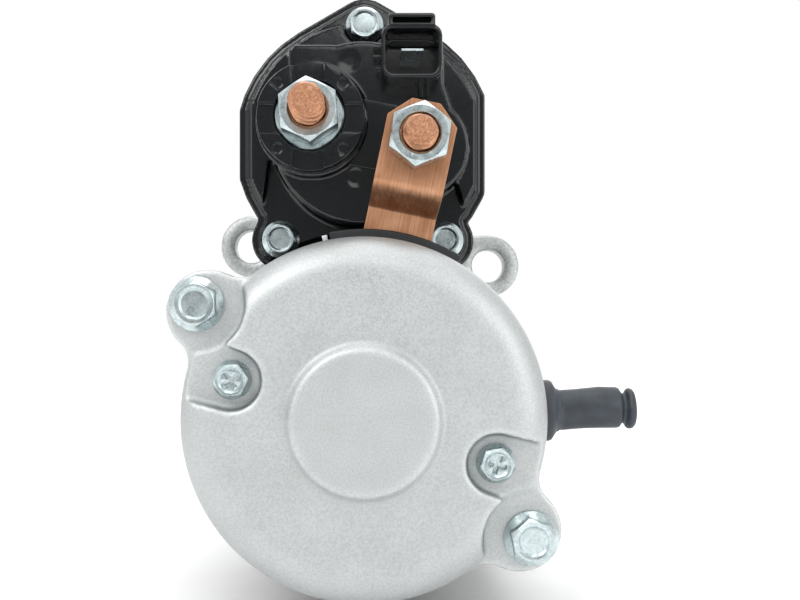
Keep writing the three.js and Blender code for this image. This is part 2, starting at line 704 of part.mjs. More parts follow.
function solenoidCase() {
  return cut(
    joined(
      rod(CASE_R, CAP_MOUTH + GAP, CASE_FRONT, SOLENOID, ROUND),
      capOutline(CAP_MOUTH + GAP, -91.5, 2),
      ...[-1, 1].map((side) => slab(earOutline(CASE_R - 0.5, 5.5, 28.5, 3), -44, CASE_FRONT, {
        turn: side > 0 ? 0 : 180, move: SOLENOID, steps: 3,
      })),
    ),
    rod(22.4, CAP_MOUTH - OVER, -43.5, SOLENOID, ROUND),
    rod(9.6, -45, -39, SOLENOID, 24),
    ...CAP_SCREWS.map((screw) => rod(2.4, -96, -90, screw, 12)),
    ...[-1, 1].map((side) => rod(2.8, -45, -39, [side * 28.5, SOLENOID_Z], 12)),
  );
}

const solenoidCoil = () => tube(10, 22, -85.6, -43.9, SOLENOID);
const solenoidCore = () => turned([
  [3.4, -91], [22.1, -91], [22.1, -86], [9, -86], [9, -70], [3.4, -70],
], SOLENOID);

function plungerSolid() {
  return cut(
    turned([
      [0, -60.5], [9.2, -60.5], [9.2, -31], [6.5, -30], [6.5, -20], [12, -20], [12, -18.3], [6.5, -18.3],
      [6.5, -4.3], [0, -4.3],
    ], SOLENOID, 24),
    block([-4.4, 4.4], [-13.3, -6.5], [SOLENOID_Z - 8, SOLENOID_Z + 4]),
  );
}

// ---- The contacts inside the solenoid cover ----
const contactRod = () => joined(rod(3, -101, -66.7, SOLENOID, 20), rod(4, -97, -96, SOLENOID, 20));

function contactPlate() {
  const [dx, dz] = [MOTOR[0] - BATTERY[0], MOTOR[1] - BATTERY[1]];
  const bar = new THREE.BoxGeometry(36, 2.2, 9).rotateY(-Math.atan2(dz, dx));
  return cut(solid(bar.translate(0, -98.4, SOLENOID_Z)), rod(3.3, -100, -96, SOLENOID));
}

const stud = (end, centre) => turned([
  [0, -102.9], [6.4, -102.9], [6.4, -105.2], [STUD_R, -105.2], [STUD_R, end + 0.9], [3.1, end], [0, end],
], centre, 20);

// ---- Drain tube: turned about its own +Y and then laid along +X ----
function drainTube() {
  const profile = [
    [3, 36.6], [4.4, 36.6], [4.4, 39.6], [7.2, 39.6], [7.2, 45.2], [5.4, 46.4], [4.9, 52], [4.9, 61.6],
    [4.3, 62.4], [4.3, 63.1], [5, 63.8], [5, 65.2], [4.6, 65.8], [3, 65.8], [3, 36.6],
  ];
  const geometry = new THREE.LatheGeometry(profile.map(([r, y]) => new THREE.Vector2(r, y)), SMALL_ROUND);
  geometry.rotateZ(-Math.PI / 2).translate(0, DRAIN.y, DRAIN.z);
  return cut(solid(geometry), cut(
    rod(YOKE_R + GAP, -112, -94, [0, 0], ROUND),
    solid(new THREE.CylinderGeometry(4.6, 4.6, 100, SMALL_ROUND).rotateZ(Math.PI / 2)
      .translate(0, DRAIN.y, DRAIN.z)),
  ));
}

// ---- The starter put together ----
piece('drive_housing', driveHousing(), castAluminium);
piece('nose_bush', tube(OUTPUT_R + GAP, 9.1, 39, 49, [0, 0], 20), bronze);
piece('yoke', yokeSolid(), paintedSteel);
piece('rear_cover', rearCover(), blastedAluminium);
BOLT_ANGLES.forEach((angle, i) => {
  const [x, z] = polar(BOLT_R, angle);
  const mesh = piece(`through_bolt_${i + 1}`, throughBolt(), zinc);
  mesh.position.set(x, BOLT_SEAT - 0.1, z);
  mesh.rotation.y = -TILT(i ? 10 : 2);
});
HOLDER_SCREW_ANGLES.forEach((angle, i) => {
  const [x, z] = polar(HOLDER_SCREW_R, angle);
  const shape = flangeScrew({ flat: 7, flange: 4.35, height: 3.5, shank: 2, length: 6.4, crossed: true });
  const mesh = piece(`brush_holder_screw_${i + 1}`, shape, zinc);
  mesh.position.set(x, HOLDER_SCREW_SEAT - 0.1, z);
  mesh.rotation.y = TILT(i ? 20 : -8);
});

BRUSH_ANGLES.forEach((angle, i) => {
  const magnet = slab(sector(30.7, YOKE_BORE - GAP, angle - 37, angle + 37), -102.5, -66, { steps: 3 });
  piece(`magnet_${i + 1}`, magnet, ferrite);
});
piece('armature_shaft', armatureShaft(), steel);
piece('armature_core', armatureCore(), laminations);
piece('armature_windings', armatureWindings(), copper);
piece('commutator', tube(SHAFT_R + GAP, COMMUTATOR_R, -121.6, -105.2, [0, 0], 30), copper);
piece('rear_bearing_outer_ring', tube(9.1, 10.8, -131, -124.4), steel);
piece('rear_bearing_balls', bearingRace(), steel);
piece('brush_holder', brushHolder(), brownPlastic);
BRUSH_ANGLES.forEach((angle, i) => {
  piece(`brush_${i + 1}`, brushSolid(angle), carbon);
  piece(`brush_spring_${i + 1}`, brushSpring(angle), steel);
});

piece('ring_gear', ringGear(), brownPlastic);
piece('output_shaft', outputShaft(), steel);
PLANET_ANGLES.forEach((angle, i) => {
  const [x, z] = polar(PLANET_ORBIT, angle);
  const mesh = piece(`planet_gear_${i + 1}`, planetSolid(), steel);
  mesh.position.set(x, 0, z);
  mesh.rotation.y = -TILT(angle);
});
piece('centre_bracket', centreBracket(), castAluminium);

piece('clutch_shell', clutchShell(), steel);
piece('clutch_rollers', clutchRollers(), steel);
piece('pinion', pinionSolid(), steel);
piece('pinion_stop_collar', tube(OUTPUT_R + 0.2, 10.5, 32.4, 36.8, [0, 0], 20), steel);

const lever = piece('shift_lever', shiftLever(), brownPlastic);
lever.position.copy(PIVOT);
lever.rotation.x = -LEVER_REST;
piece('lever_pivot_pin', crossRod(3, -17.3, 17.3, PIVOT.y, PIVOT.z), steel);

piece('solenoid_case', solenoidCase(), paintedSteel);
piece('solenoid_coil', solenoidCoil(), copper);
piece('solenoid_core', solenoidCore(), steel);
piece('plunger', plungerSolid(), zinc);
const returnSpring = piece('plunger_return_spring', coil(11, 1.4, 19.9, 5.5, 10), steel);
returnSpring.position.set(0, CASE_FRONT + GAP, SOLENOID_Z);
piece('contact_rod', contactRod(), brownPlastic);
piece('contact_plate', contactPlate(), copper);
const contactSpring = piece('contact_spring', coil(4.4, 0.6, 5.4, 3), steel);
contactSpring.position.set(0, -105.2, SOLENOID_Z);
piece('solenoid_cover', solenoidCover(), blackPlastic);
CAP_SCREWS.forEach(([x, z], i) => {
  const shape = flangeScrew({ flat: 7, flange: 4.6, height: 3.5, shank: 2, length: 9 });
  const mesh = piece(`cover_screw_${i + 1}`, shape, zinc);
  mesh.position.set(x, CAP_SEAT - 0.1, z);
});
piece('battery_stud', stud(-137, BATTERY), copper);
piece('motor_stud', stud(-132, MOTOR), copper);
const washer = piece('battery_washer', tube(STUD_R + GAP, 8, -1.6, 0, [0, 0], 20), zinc);
washer.position.set(BATTERY[0], -115.4, BATTERY[1]);
const batteryNut = piece('battery_nut', nut(13, 8.3, STUD_R + GAP), zinc);
batteryNut.position.set(BATTERY[0], -117.3, BATTERY[1]);
batteryNut.rotation.y = -TILT(4);
const motorNut = piece('motor_nut', nut(13, 6.7, STUD_R + GAP), zinc);
motorNut.position.set(MOTOR[0], BAR_BACK - GAP, MOTOR[1]);
motorNut.rotation.y = TILT(8.5);
piece('signal_blade', block(
  [BLADE.x - BLADE.width / 2, BLADE.x + BLADE.width / 2], [-118.5, SOCKET.floor + 1.7],
  [BLADE.z - BLADE.thick / 2, BLADE.z + BLADE.thick / 2],
), zinc);
piece('motor_lead_bar', leadBarSolid(), copper);
piece('lead_grommet', grommetSolid(), rubber);
piece('drain_tube', drainTube(), rubber);

export default part;
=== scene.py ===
"""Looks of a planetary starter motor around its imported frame. Lengths below are millimetres."""
import math

import bpy
from mathutils import Matrix, Vector


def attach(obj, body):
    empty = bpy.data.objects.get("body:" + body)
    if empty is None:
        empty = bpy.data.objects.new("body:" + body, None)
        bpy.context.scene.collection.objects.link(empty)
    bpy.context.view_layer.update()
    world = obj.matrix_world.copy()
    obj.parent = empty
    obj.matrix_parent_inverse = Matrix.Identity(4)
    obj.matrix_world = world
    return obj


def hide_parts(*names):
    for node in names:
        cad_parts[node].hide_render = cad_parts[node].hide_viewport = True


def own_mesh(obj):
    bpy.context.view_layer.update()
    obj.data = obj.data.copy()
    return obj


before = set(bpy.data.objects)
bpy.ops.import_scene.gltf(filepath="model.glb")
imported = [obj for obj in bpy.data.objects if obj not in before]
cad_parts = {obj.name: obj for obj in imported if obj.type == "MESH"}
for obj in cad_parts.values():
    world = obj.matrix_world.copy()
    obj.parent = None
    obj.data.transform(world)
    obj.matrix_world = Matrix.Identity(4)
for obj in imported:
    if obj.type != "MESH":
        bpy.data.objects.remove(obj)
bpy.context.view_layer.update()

MM = 0.001

# Places that the pieces share, written as the CAD has them: (X, Z) of axes, radii, Y of faces.
SOLENOID = (0.0, 66.0)
BATTERY = (-12.6, 70.0)
MOTOR = (12.5, 63.9)
COVER_R = 41.2
COVER_FRONT = -112.0
COVER_FACE = -133.0
BOSS_FACE = -134.8
BOLT_R = 45.2
BOLT_EAR_AT = 42.2
BOLT_ANGLES = (145, -35)
BOLT_SEAT = -128.5
HOLDER_SCREW_R = 30.6
HOLDER_SCREW_ANGLES = (162.5, -17.5)
HOLDER_SCREW_SEAT = -129.0
LEAD_ANGLES = (57.7, 101.3)
CAP_SCREWS = ((0.2, 94.8), (-20.4, 42.2), (19.9, 42.0))
CAP_SEAT = -100.0
EARS = ((-36.5, 46.3), (40.6, 40.0))
BAR_TILT = 12
BAR_WIDTH = 16.2
DRAIN_Y, DRAIN_Z = -103.5, 0.4


# ---- Mesh work ----
def only(obj):
    bpy.ops.object.select_all(action="DESELECT")
    obj.select_set(True)
    bpy.context.view_layer.objects.active = obj


def fresh(name):
    obj = bpy.context.object
    obj.name = obj.data.name = name
    return obj


def settle(obj):
    """Writes the object's place into its mesh, so the object itself sits at the origin."""
    only(obj)
    bpy.ops.object.transform_apply(location=True, rotation=True, scale=True)
    return obj


def wire(name, points):
    """A closed line through points in mm: a circle primitive whose corners are moved to them."""
    bpy.ops.object.select_all(action="DESELECT")
    bpy.ops.mesh.primitive_circle_add(vertices=len(points), radius=MM)
    obj = fresh(name)
    for vertex, point in zip(obj.data.vertices, points):
        vertex.co = Vector(point) * MM
    return obj


def tidy_mesh(obj):
    """Merges doubles, drops slivers and loose edges, and turns every face outwards."""
    only(obj)
    bpy.ops.object.mode_set(mode="EDIT")
    bpy.ops.mesh.select_all(action="SELECT")
    bpy.ops.mesh.remove_doubles(threshold=0.002 * MM)
    bpy.ops.mesh.dissolve_degenerate(threshold=0.001 * MM)
    bpy.ops.mesh.delete_loose(use_verts=True, use_edges=True, use_faces=False)
    bpy.ops.mesh.select_all(action="SELECT")
    bpy.ops.mesh.normals_make_consistent(inside=False)
    bpy.ops.object.mode_set(mode="OBJECT")
    return obj


def turned(name, profile, centre=(0, 0), steps=96):
    """A piece turned about a line along Y through centre (X, Z); profile is [radius, y]."""
    closed = profile[0][0] > 0
    obj = wire(name, [(centre[0] + r, y, centre[1]) for r, y in profile])
    only(obj)
    bpy.ops.object.mode_set(mode="EDIT")
    if not closed:
        bpy.ops.mesh.select_all(action="DESELECT")
        bpy.ops.object.mode_set(mode="OBJECT")
        obj.data.vertices[0].select = obj.data.vertices[-1].select = True
        for edge in obj.data.edges:
            edge.select = set(edge.vertices) == {0, len(profile) - 1}
        bpy.ops.object.mode_set(mode="EDIT")
        bpy.ops.mesh.select_mode(type="EDGE")
        bpy.ops.mesh.delete(type="EDGE")
        bpy.ops.mesh.select_mode(type="VERT")
    bpy.ops.mesh.select_all(action="SELECT")
    middle = (centre[0] * MM, 0, centre[1] * MM)
    bpy.ops.mesh.spin(steps=steps, angle=2 * math.pi, center=middle, axis=(0, 1, 0))
    bpy.ops.object.mode_set(mode="OBJECT")
    return tidy_mesh(obj)


def plate(name, outline, y0, y1, turn=0.0, move=(0, 0)):
    """An outline in X and Z made a solid from y0 to y1, turned in degrees and then moved."""
    spin = Matrix.Rotation(math.radians(turn), 2)
    points = [spin @ Vector(p) + Vector(move) for p in outline]
    obj = wire(name, [(x, y0, z) for x, z in points])
    only(obj)
    bpy.ops.object.mode_set(mode="EDIT")
    bpy.ops.mesh.select_all(action="SELECT")
    bpy.ops.mesh.edge_face_add()
    offset = (0, (y1 - y0) * MM, 0)
    bpy.ops.mesh.extrude_region_move(TRANSFORM_OT_translate={"value": offset})
    bpy.ops.object.mode_set(mode="OBJECT")
    return tidy_mesh(obj)


def drum(radius, y0, y1, centre=(0, 0), sides=64):
    place = Vector((centre[0], (y0 + y1) / 2, centre[1])) * MM
    bpy.ops.object.select_all(action="DESELECT")
    bpy.ops.mesh.primitive_cylinder_add(
        vertices=sides, radius=radius * MM, depth=(y1 - y0) * MM, location=place,
        rotation=(math.pi / 2, 0, 0),
    )
    return settle(fresh("drum"))


def cross_drum(radius, x0, x1, y, z, sides=48):
    bpy.ops.object.select_all(action="DESELECT")
    bpy.ops.mesh.primitive_cylinder_add(
        vertices=sides, radius=radius * MM, depth=(x1 - x0) * MM,
        location=Vector(((x0 + x1) / 2, y, z)) * MM, rotation=(0, math.pi / 2, 0),
    )
    return settle(fresh("cross_drum"))


def brick(xs, ys, zs):
    middle = Vector((sum(xs) / 2, sum(ys) / 2, sum(zs) / 2)) * MM
    bpy.ops.object.select_all(action="DESELECT")
    bpy.ops.mesh.primitive_cube_add(size=1, location=middle)
    obj = fresh("brick")
    obj.scale = ((xs[1] - xs[0]) * MM, (ys[1] - ys[0]) * MM, (zs[1] - zs[0]) * MM)
    return settle(obj)


def combine(base, tools, operation="UNION"):
    """Joins, cuts or intersects base with each tool in turn, and uses the tools up."""
    for tool in tools:
        cutter = base.modifiers.new("combine", "BOOLEAN")
        cutter.operation, cutter.solver, cutter.object = operation, "EXACT", tool
        only(base)
        bpy.ops.object.modifier_apply(modifier=cutter.name)
        bpy.data.objects.remove(tool)
    return base


def cut(base, *tools):
    return combine(base, tools, "DIFFERENCE")


def join(base, *tools):
    return combine(base, tools)


def smooth_faces(obj, degrees=35):
    only(obj)
    bpy.ops.object.shade_smooth_by_angle(angle=math.radians(degrees))
    return obj


def even_faces(obj):
    """Lets the broad faces set the shading, so that they look flat up to their rounded edges."""
    weigh = obj.modifiers.new("weigh", "WEIGHTED_NORMAL")
    weigh.mode, weigh.weight, weigh.keep_sharp = "FACE_AREA", 50, True
    only(obj)
    bpy.ops.object.modifier_apply(modifier=weigh.name)
    return obj


def soften(obj, width, segments=2, degrees=32):
    """Rounds every edge sharper than the angle, as moulding, rolling or deburring leaves it."""
    tidy_mesh(obj)
    edge = obj.modifiers.new("soften", "BEVEL")
    edge.width, edge.segments, edge.limit_method = width * MM, segments, "ANGLE"
    edge.angle_limit, edge.use_clamp_overlap = math.radians(degrees), False
    edge.miter_outer = "MITER_ARC"
    parts = obj.modifiers.new("parts", "TRIANGULATE")
    parts.min_vertices = 5
    only(obj)
    for modifier in ("soften", "parts"):
        bpy.ops.object.modifier_apply(modifier=modifier)
    bpy.ops.object.mode_set(mode="EDIT")
    bpy.ops.mesh.select_all(action="SELECT")
    bpy.ops.mesh.normals_make_consistent(inside=False)
    bpy.ops.object.mode_set(mode="OBJECT")
    return even_faces(smooth_faces(obj))


def cast(obj, grid, rounds=6):
    """Makes one skin of joined shapes whose corners run into each other as in a casting."""
    skin = obj.modifiers.new("cast", "REMESH")
    skin.mode, skin.voxel_size, skin.use_smooth_shade = "VOXEL", grid * MM, True
    ease = obj.modifiers.new("ease", "SMOOTH")
    ease.factor, ease.iterations = 0.5, rounds
    only(obj)
    for modifier in ("cast", "ease"):
        bpy.ops.object.modifier_apply(modifier=modifier)
    bpy.ops.object.shade_smooth()
    return obj


def copy_of(obj, name, place=(0, 0, 0), turn=0.0):
    """Another of a piece made at the origin, turned anticlockwise as seen from behind and moved."""
    twin = obj.copy()
    twin.data = obj.data.copy()
    twin.name = twin.data.name = name
    bpy.context.collection.objects.link(twin)
    spin = Matrix.Rotation(-math.radians(turn), 4, "Y")
    twin.data.transform(Matrix.Translation(Vector(place) * MM) @ spin)
    return twin


def install(obj, name, body, slot, material, *nodes):
    """Names a finished piece, gives it its material and ties it to the frame."""
    obj.name = obj.data.name = name
    obj.data.materials.clear()
    obj.data.materials.append(material)
    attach(obj, body)
    if nodes:
        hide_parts(*nodes)
    return obj


# ---- Outlines ----
def polar(radius, degrees):
    return (radius * math.cos(math.radians(degrees)), radius * math.sin(math.radians(degrees)))


def arc(centre, radius, start, end, steps):
    """Points on an arc, from one angle to another in degrees, both included."""
    sweep = [start + (end - start) * i / steps for i in range(steps + 1)]
    return [(centre[0] + polar(radius, a)[0], centre[1] + polar(radius, a)[1]) for a in sweep]


def sector(inner, outer, start, end, steps=24):
    return arc((0, 0), outer, start, end, steps) + arc((0, 0), inner, end, start, steps)


def ear(disc, radius, distance, fillet, steps=12):
    """An ear on +X that runs into a disc through two hollow fillets."""
    x = ((disc + fillet) ** 2 - (radius + fillet) ** 2 + distance ** 2) / (2 * distance)
    y = math.sqrt((disc + fillet) ** 2 - x ** 2)
    at_disc = math.degrees(math.atan2(y, x))
    at_ear = math.degrees(math.atan2(y, x - distance))
    return [
        (0, 0), *arc((x, -y), fillet, 180 - at_disc, 180 - at_ear, steps),
        *arc((distance, 0), radius, -at_ear, at_ear, 2 * steps),
        *arc((x, y), fillet, at_ear - 180, at_disc - 180, steps),
    ]


def taper(disc, radius, distance, steps=32):
    lean = math.degrees(math.acos((disc - radius) / distance))
    return arc((distance, 0), radius, -lean, lean, 16) + arc((0, 0), disc, lean, 360 - lean, steps)


def rounded(xs, zs, radius, steps=5):
    """A rectangle with rounded corners."""
    (x0, x1), (z0, z1) = xs, zs
    corners = ((x1, z1, 0), (x0, z1, 90), (x0, z0, 180), (x1, z0, 270))
    points = []
    for x, z, start in corners:
        cx = x - radius if x == x1 else x + radius
        cz = z - radius if z == z1 else z + radius
        points += arc((cx, cz), radius, start, start + 90, steps)
    return points

# ---- Materials ----
def linear(colour):
    """An sRGB hex value as linear red, green, blue and alpha."""
    channels = [int(colour[i:i + 2], 16) / 255 for i in (1, 3, 5)]
    return [c / 12.92 if c <= 0.04045 else ((c + 0.055) / 1.055) ** 2.4 for c in channels] + [1]


def per(size):
    """The scale that makes a noise cell or wave as large as this, in mm."""
    return 1 / (size * MM)


def add(tree, kind, sockets=None, stops=(), **fields):
    """Adds a node with its fields, its colour stops and its sockets, each a value or a link."""
    made = tree.nodes.new("ShaderNode" + kind)
    for field, value in fields.items():
        setattr(made, field, value)
    for i, (place, colour) in enumerate(stops):
        ramp = made.color_ramp.elements
        stop = ramp[i] if i < len(ramp) else ramp.new(place)
        stop.position, stop.color = place, linear(colour)
    for socket, value in (sockets or {}).items():
        if isinstance(value, bpy.types.NodeSocket):
            tree.links.new(value, made.inputs[socket])
        else:
            made.inputs[socket].default_value = value
    return made


def surface(name, metallic, roughness):
    """A new material, with its node tree, its shader and a piece's own coordinates."""
    made = bpy.data.materials.new(name)
    made.use_nodes = True
    tree = made.node_tree
    shader = tree.nodes["Principled BSDF"]
    shader.inputs["Metallic"].default_value = metallic
    shader.inputs["Roughness"].default_value = roughness
    return made, tree, shader, add(tree, "TexCoord").outputs["Object"]


def colour_from(tree, shader, pattern, stops):
    made = add(tree, "ValToRGB", {"Fac": pattern}, stops)
    tree.links.new(made.outputs["Color"], shader.inputs["Base Color"])
    return made.outputs["Color"]


def vary(tree, shader, pattern, low, high):
    """Lets a pattern carry the roughness from one value to another."""
    made = add(tree, "MapRange", {"Value": pattern, "To Min": low, "To Max": high})
    tree.links.new(made.outputs["Result"], shader.inputs["Roughness"])


def relief(tree, shader, pattern, height, strength=1.0):
    """Raises a pattern by a height in mm."""
    made = add(tree, "Bump", {"Height": pattern, "Distance": height * MM, "Strength": strength})
    tree.links.new(made.outputs["Normal"], shader.inputs["Normal"])


def blasted_aluminium():
    # Die-cast aluminium blown with glass beads: pale, even and matt, with a fine glitter of
    # dents, faint cloudy patches, bright worn edges, and hollows darkened as painted shade.
    made, tree, shader, place = surface("bead_blasted_aluminium", 0.85, 0.5)
    dents = add(tree, "TexNoise", {"Vector": place, "Scale": per(0.4), "Detail": 2.0})
    clouds = add(tree, "TexNoise", {"Vector": place, "Scale": per(9), "Detail": 3.0})
    edges = add(tree, "NewGeometry").outputs["Pointiness"]
    # Worn convex edges are made brighter, and concave hollows are darkened here as painted shade.
    edge_wear_and_painted_hollow_shade = add(tree, "ValToRGB", {"Fac": edges},
               [(0.44, "#A8ACAC"), (0.5, "#BEC1C1"), (0.56, "#D2D4D4")])
    speckle = add(
        tree, "ValToRGB", {"Fac": dents.outputs["Fac"]}, [(0.34, "#DCDDDD"), (0.62, "#FFFFFF")]
    )
    grains = add(tree, "MixRGB", {
        "Fac": 0.6, "Color1": edge_wear_and_painted_hollow_shade.outputs["Color"], "Color2": speckle.outputs["Color"],
    }, blend_type="MULTIPLY")
    patches = add(
        tree, "ValToRGB", {"Fac": clouds.outputs["Fac"]}, [(0.3, "#F3F4F4"), (0.7, "#FFFFFF")]
    )
    cast_tone = add(tree, "MixRGB", {
        "Fac": 0.7, "Color1": grains.outputs["Color"], "Color2": patches.outputs["Color"],
    }, blend_type="MULTIPLY")
    tree.links.new(cast_tone.outputs["Color"], shader.inputs["Base Color"])
    vary(tree, shader, dents.outputs["Fac"], 0.42, 0.62)
    relief(tree, shader, dents.outputs["Fac"], 0.035)
    return made


def cast_aluminium():
    # Die-cast aluminium, tumbled only: a grey skin with cold-flow clouds and a coarser grain.
    made, tree, shader, place = surface("as_cast_aluminium", 0.85, 0.5)
    flow = add(tree, "TexNoise", {"Vector": place, "Scale": per(12), "Detail": 5.0, "Distortion": 1.2})
    grain = add(tree, "TexNoise", {"Vector": place, "Scale": per(0.9), "Detail": 3.0})
    tone = add(
        tree, "ValToRGB", {"Fac": flow.outputs["Fac"]}, [(0.3, "#AEB2B1"), (0.7, "#C9CCCB")]
    )
    speckle = add(
        tree, "ValToRGB", {"Fac": grain.outputs["Fac"]}, [(0.35, "#C4C6C6"), (0.6, "#FFFFFF")]
    )
    mixed = add(tree, "MixRGB", {
        "Fac": 0.6, "Color1": tone.outputs["Color"], "Color2": speckle.outputs["Color"],
    }, blend_type="MULTIPLY")
    tree.links.new(mixed.outputs["Color"], shader.inputs["Base Color"])
    vary(tree, shader, flow.outputs["Fac"], 0.42, 0.6)
    relief(tree, shader, grain.outputs["Fac"], 0.05)
    return made


def zinc_plate():
    # Cold-headed steel under clear-passivated zinc: bluish white, bright on edges and flanks,
    # with a fine frosty grain and dull handling marks.
    made, tree, shader, place = surface("clear_zinc_plate", 1.0, 0.28)
    frost = add(tree, "TexNoise", {"Vector": place, "Scale": per(0.5), "Detail": 4.0})
    marks = add(tree, "TexNoise",
                {"Vector": place, "Scale": per(2.6), "Detail": 3.0, "Distortion": 0.8})
    both = add(tree, "MixRGB", {
        "Fac": 0.5, "Color1": frost.outputs["Fac"], "Color2": marks.outputs["Fac"],
    })
    colour_from(tree, shader, both.outputs["Color"],
                [(0.3, "#9CA9AB"), (0.5, "#BCC8CA"), (0.72, "#D6E0E2")])
    vary(tree, shader, marks.outputs["Fac"], 0.2, 0.38)
    relief(tree, shader, frost.outputs["Fac"], 0.012)
    return made


def machined_steel():
    # Turned and ground steel under a film of grease: fine rings round the shaft, grey sheen.
    made, tree, shader, place = surface("turned_steel", 1.0, 0.3)
    pitch = add(tree, "Mapping", {"Vector": place, "Scale": (per(9), per(0.35), per(9))})
    rings = add(tree, "TexNoise", {"Vector": pitch.outputs["Vector"], "Scale": 1.0, "Detail": 3.0})
    colour_from(tree, shader, rings.outputs["Fac"], [(0.3, "#84888A"), (0.7, "#B4B8BA")])
    vary(tree, shader, rings.outputs["Fac"], 0.22, 0.42)
    relief(tree, shader, rings.outputs["Fac"], 0.01)
    return made


def stacked_laminations():
    # 0.5 mm electrical steel sheets pressed on a shaft: bands across the stack, blued edges.
    made, tree, shader, place = surface("stacked_laminations", 1.0, 0.45)
    sheets = add(tree, "TexWave", {"Vector": place, "Scale": per(0.5) / 20, "Distortion": 0.4},
                 wave_type="BANDS", bands_direction="Y")
    colour_from(tree, shader, sheets.outputs["Fac"], [(0.1, "#3B3D42"), (0.6, "#77797D")])
    relief(tree, shader, sheets.outputs["Fac"], 0.03)
    return made


def rolled_copper():
    # Copper strip, rolled along its length and then handled: fine streaks down the bar,
    # browner clouds, and darker copper in a ring round the motor nut.
    made, tree, shader, place = surface("rolled_copper_strip", 1.0, 0.34)
    along = add(tree, "Mapping", {
        "Vector": place, "Rotation": (0, math.radians(-BAR_TILT), 0),
    })
    streaky = add(tree, "Mapping", {
        "Vector": along.outputs["Vector"], "Scale": (per(0.5), per(2), per(14)),
    })
    streaks = add(tree, "TexNoise", {"Vector": streaky.outputs["Vector"], "Scale": 1.0, "Detail": 3.0})
    clouds = add(tree, "TexNoise", {"Vector": place, "Scale": per(6), "Detail": 4.0, "Distortion": 0.6})
    both = add(tree, "MixRGB", {
        "Fac": 0.45, "Color1": streaks.outputs["Fac"], "Color2": clouds.outputs["Fac"],
    })
    tone = add(tree, "ValToRGB", {"Fac": both.outputs["Color"]},
               [(0.32, "#9A6D54"), (0.5, "#B68767"), (0.68, "#CDA184")])
    # Darker copper round the motor nut: strongest within 7 mm of its axis, gone by 12 mm.
    nut_middle = [MOTOR[0] * MM, -0.124, MOTOR[1] * MM]
    reach = add(tree, "VectorMath", {0: place, 1: nut_middle}, operation="DISTANCE")
    ring = add(tree, "MapRange", {
        "Value": reach.outputs["Value"], "From Min": 7 * MM, "From Max": 12 * MM,
        "To Min": 0.55, "To Max": 0.0,
    })
    darker_round_nut = add(tree, "MixRGB", {
        "Fac": ring.outputs["Result"], "Color1": tone.outputs["Color"], "Color2": linear("#8F6248"),
    })
    tree.links.new(darker_round_nut.outputs["Color"], shader.inputs["Base Color"])
    vary(tree, shader, clouds.outputs["Fac"], 0.4, 0.58)
    relief(tree, shader, streaks.outputs["Fac"], 0.012)
    return made


def turned_copper():
    # Copper turned and threaded, or drawn into wire: warm and fairly bright, with tool marks.
    made, tree, shader, place = surface("turned_copper", 1.0, 0.3)
    marks = add(tree, "TexNoise",
                {"Vector": place, "Scale": per(0.45), "Detail": 4.0, "Distortion": 0.5})
    colour_from(tree, shader, marks.outputs["Fac"],
                [(0.3, "#A8745A"), (0.52, "#BE8A6A"), (0.75, "#D9AE90")])
    vary(tree, shader, marks.outputs["Fac"], 0.32, 0.5)
    relief(tree, shader, marks.outputs["Fac"], 0.02)
    return made


def sintered_bronze():
    # Pressed and sintered bronze full of oil: brown gold, matt, with pin-sized pores.
    made, tree, shader, place = surface("sintered_bronze", 1.0, 0.5)
    pores = add(tree, "TexVoronoi", {"Vector": place, "Scale": per(0.5)})
    colour_from(tree, shader, pores.outputs["Distance"],
                [(0.1, "#5E4526"), (0.3, "#A9824A"), (0.8, "#C09A60")])
    relief(tree, shader, pores.outputs["Distance"], 0.02)
    return made


def painted_steel():
    # Deep-drawn steel under satin black paint: a faint orange peel and dusty dull clouds.
    made, tree, shader, place = surface("satin_black_paint", 0.0, 0.38)
    peel = add(tree, "TexNoise", {"Vector": place, "Scale": per(1.3), "Detail": 1.0})
    dust = add(tree, "TexNoise", {"Vector": place, "Scale": per(14), "Detail": 5.0})
    colour_from(tree, shader, dust.outputs["Fac"], [(0.35, "#1A1B1D"), (0.7, "#2B2D2F")])
    vary(tree, shader, dust.outputs["Fac"], 0.3, 0.48)
    relief(tree, shader, peel.outputs["Fac"], 0.03)
    return made


def black_phenolic():
    # Glass-filled phenolic pressed in a polished mould: near black with a cool gloss, slight
    # sink waves, and a few dull grains.
    made, tree, shader, place = surface("moulded_black_phenolic", 0.0, 0.2)
    shader.inputs["IOR"].default_value = 1.5
    sinks = add(tree, "TexNoise", {"Vector": place, "Scale": per(7), "Detail": 2.0})
    grains = add(tree, "TexNoise", {"Vector": place, "Scale": per(0.6), "Detail": 3.0})
    colour_from(tree, shader, grains.outputs["Fac"], [(0.35, "#0E1113"), (0.7, "#14181A")])
    vary(tree, shader, grains.outputs["Fac"], 0.1, 0.18)
    relief(tree, shader, sinks.outputs["Fac"], 0.05)
    return made


def filled_nylon():
    # Brown glass-filled nylon as moulded: matt, with pale fibre flecks.
    made, tree, shader, place = surface("brown_filled_nylon", 0.0, 0.5)
    fibres = add(tree, "TexNoise",
                 {"Vector": place, "Scale": per(0.8), "Detail": 5.0, "Distortion": 2.0})
    colour_from(tree, shader, fibres.outputs["Fac"],
                [(0.3, "#3B2E23"), (0.6, "#54412F"), (0.8, "#6E5944")])
    relief(tree, shader, fibres.outputs["Fac"], 0.02)
    return made


def brush_carbon():
    # Pressed copper and graphite: dark grey with copper glints.
    made, tree, shader, place = surface("copper_graphite", 0.35, 0.5)
    glints = add(tree, "TexVoronoi", {"Vector": place, "Scale": per(0.5)})
    colour_from(tree, shader, glints.outputs["Distance"], [(0.1, "#7A5844"), (0.25, "#2C2C2F")])
    relief(tree, shader, glints.outputs["Distance"], 0.015)
    return made


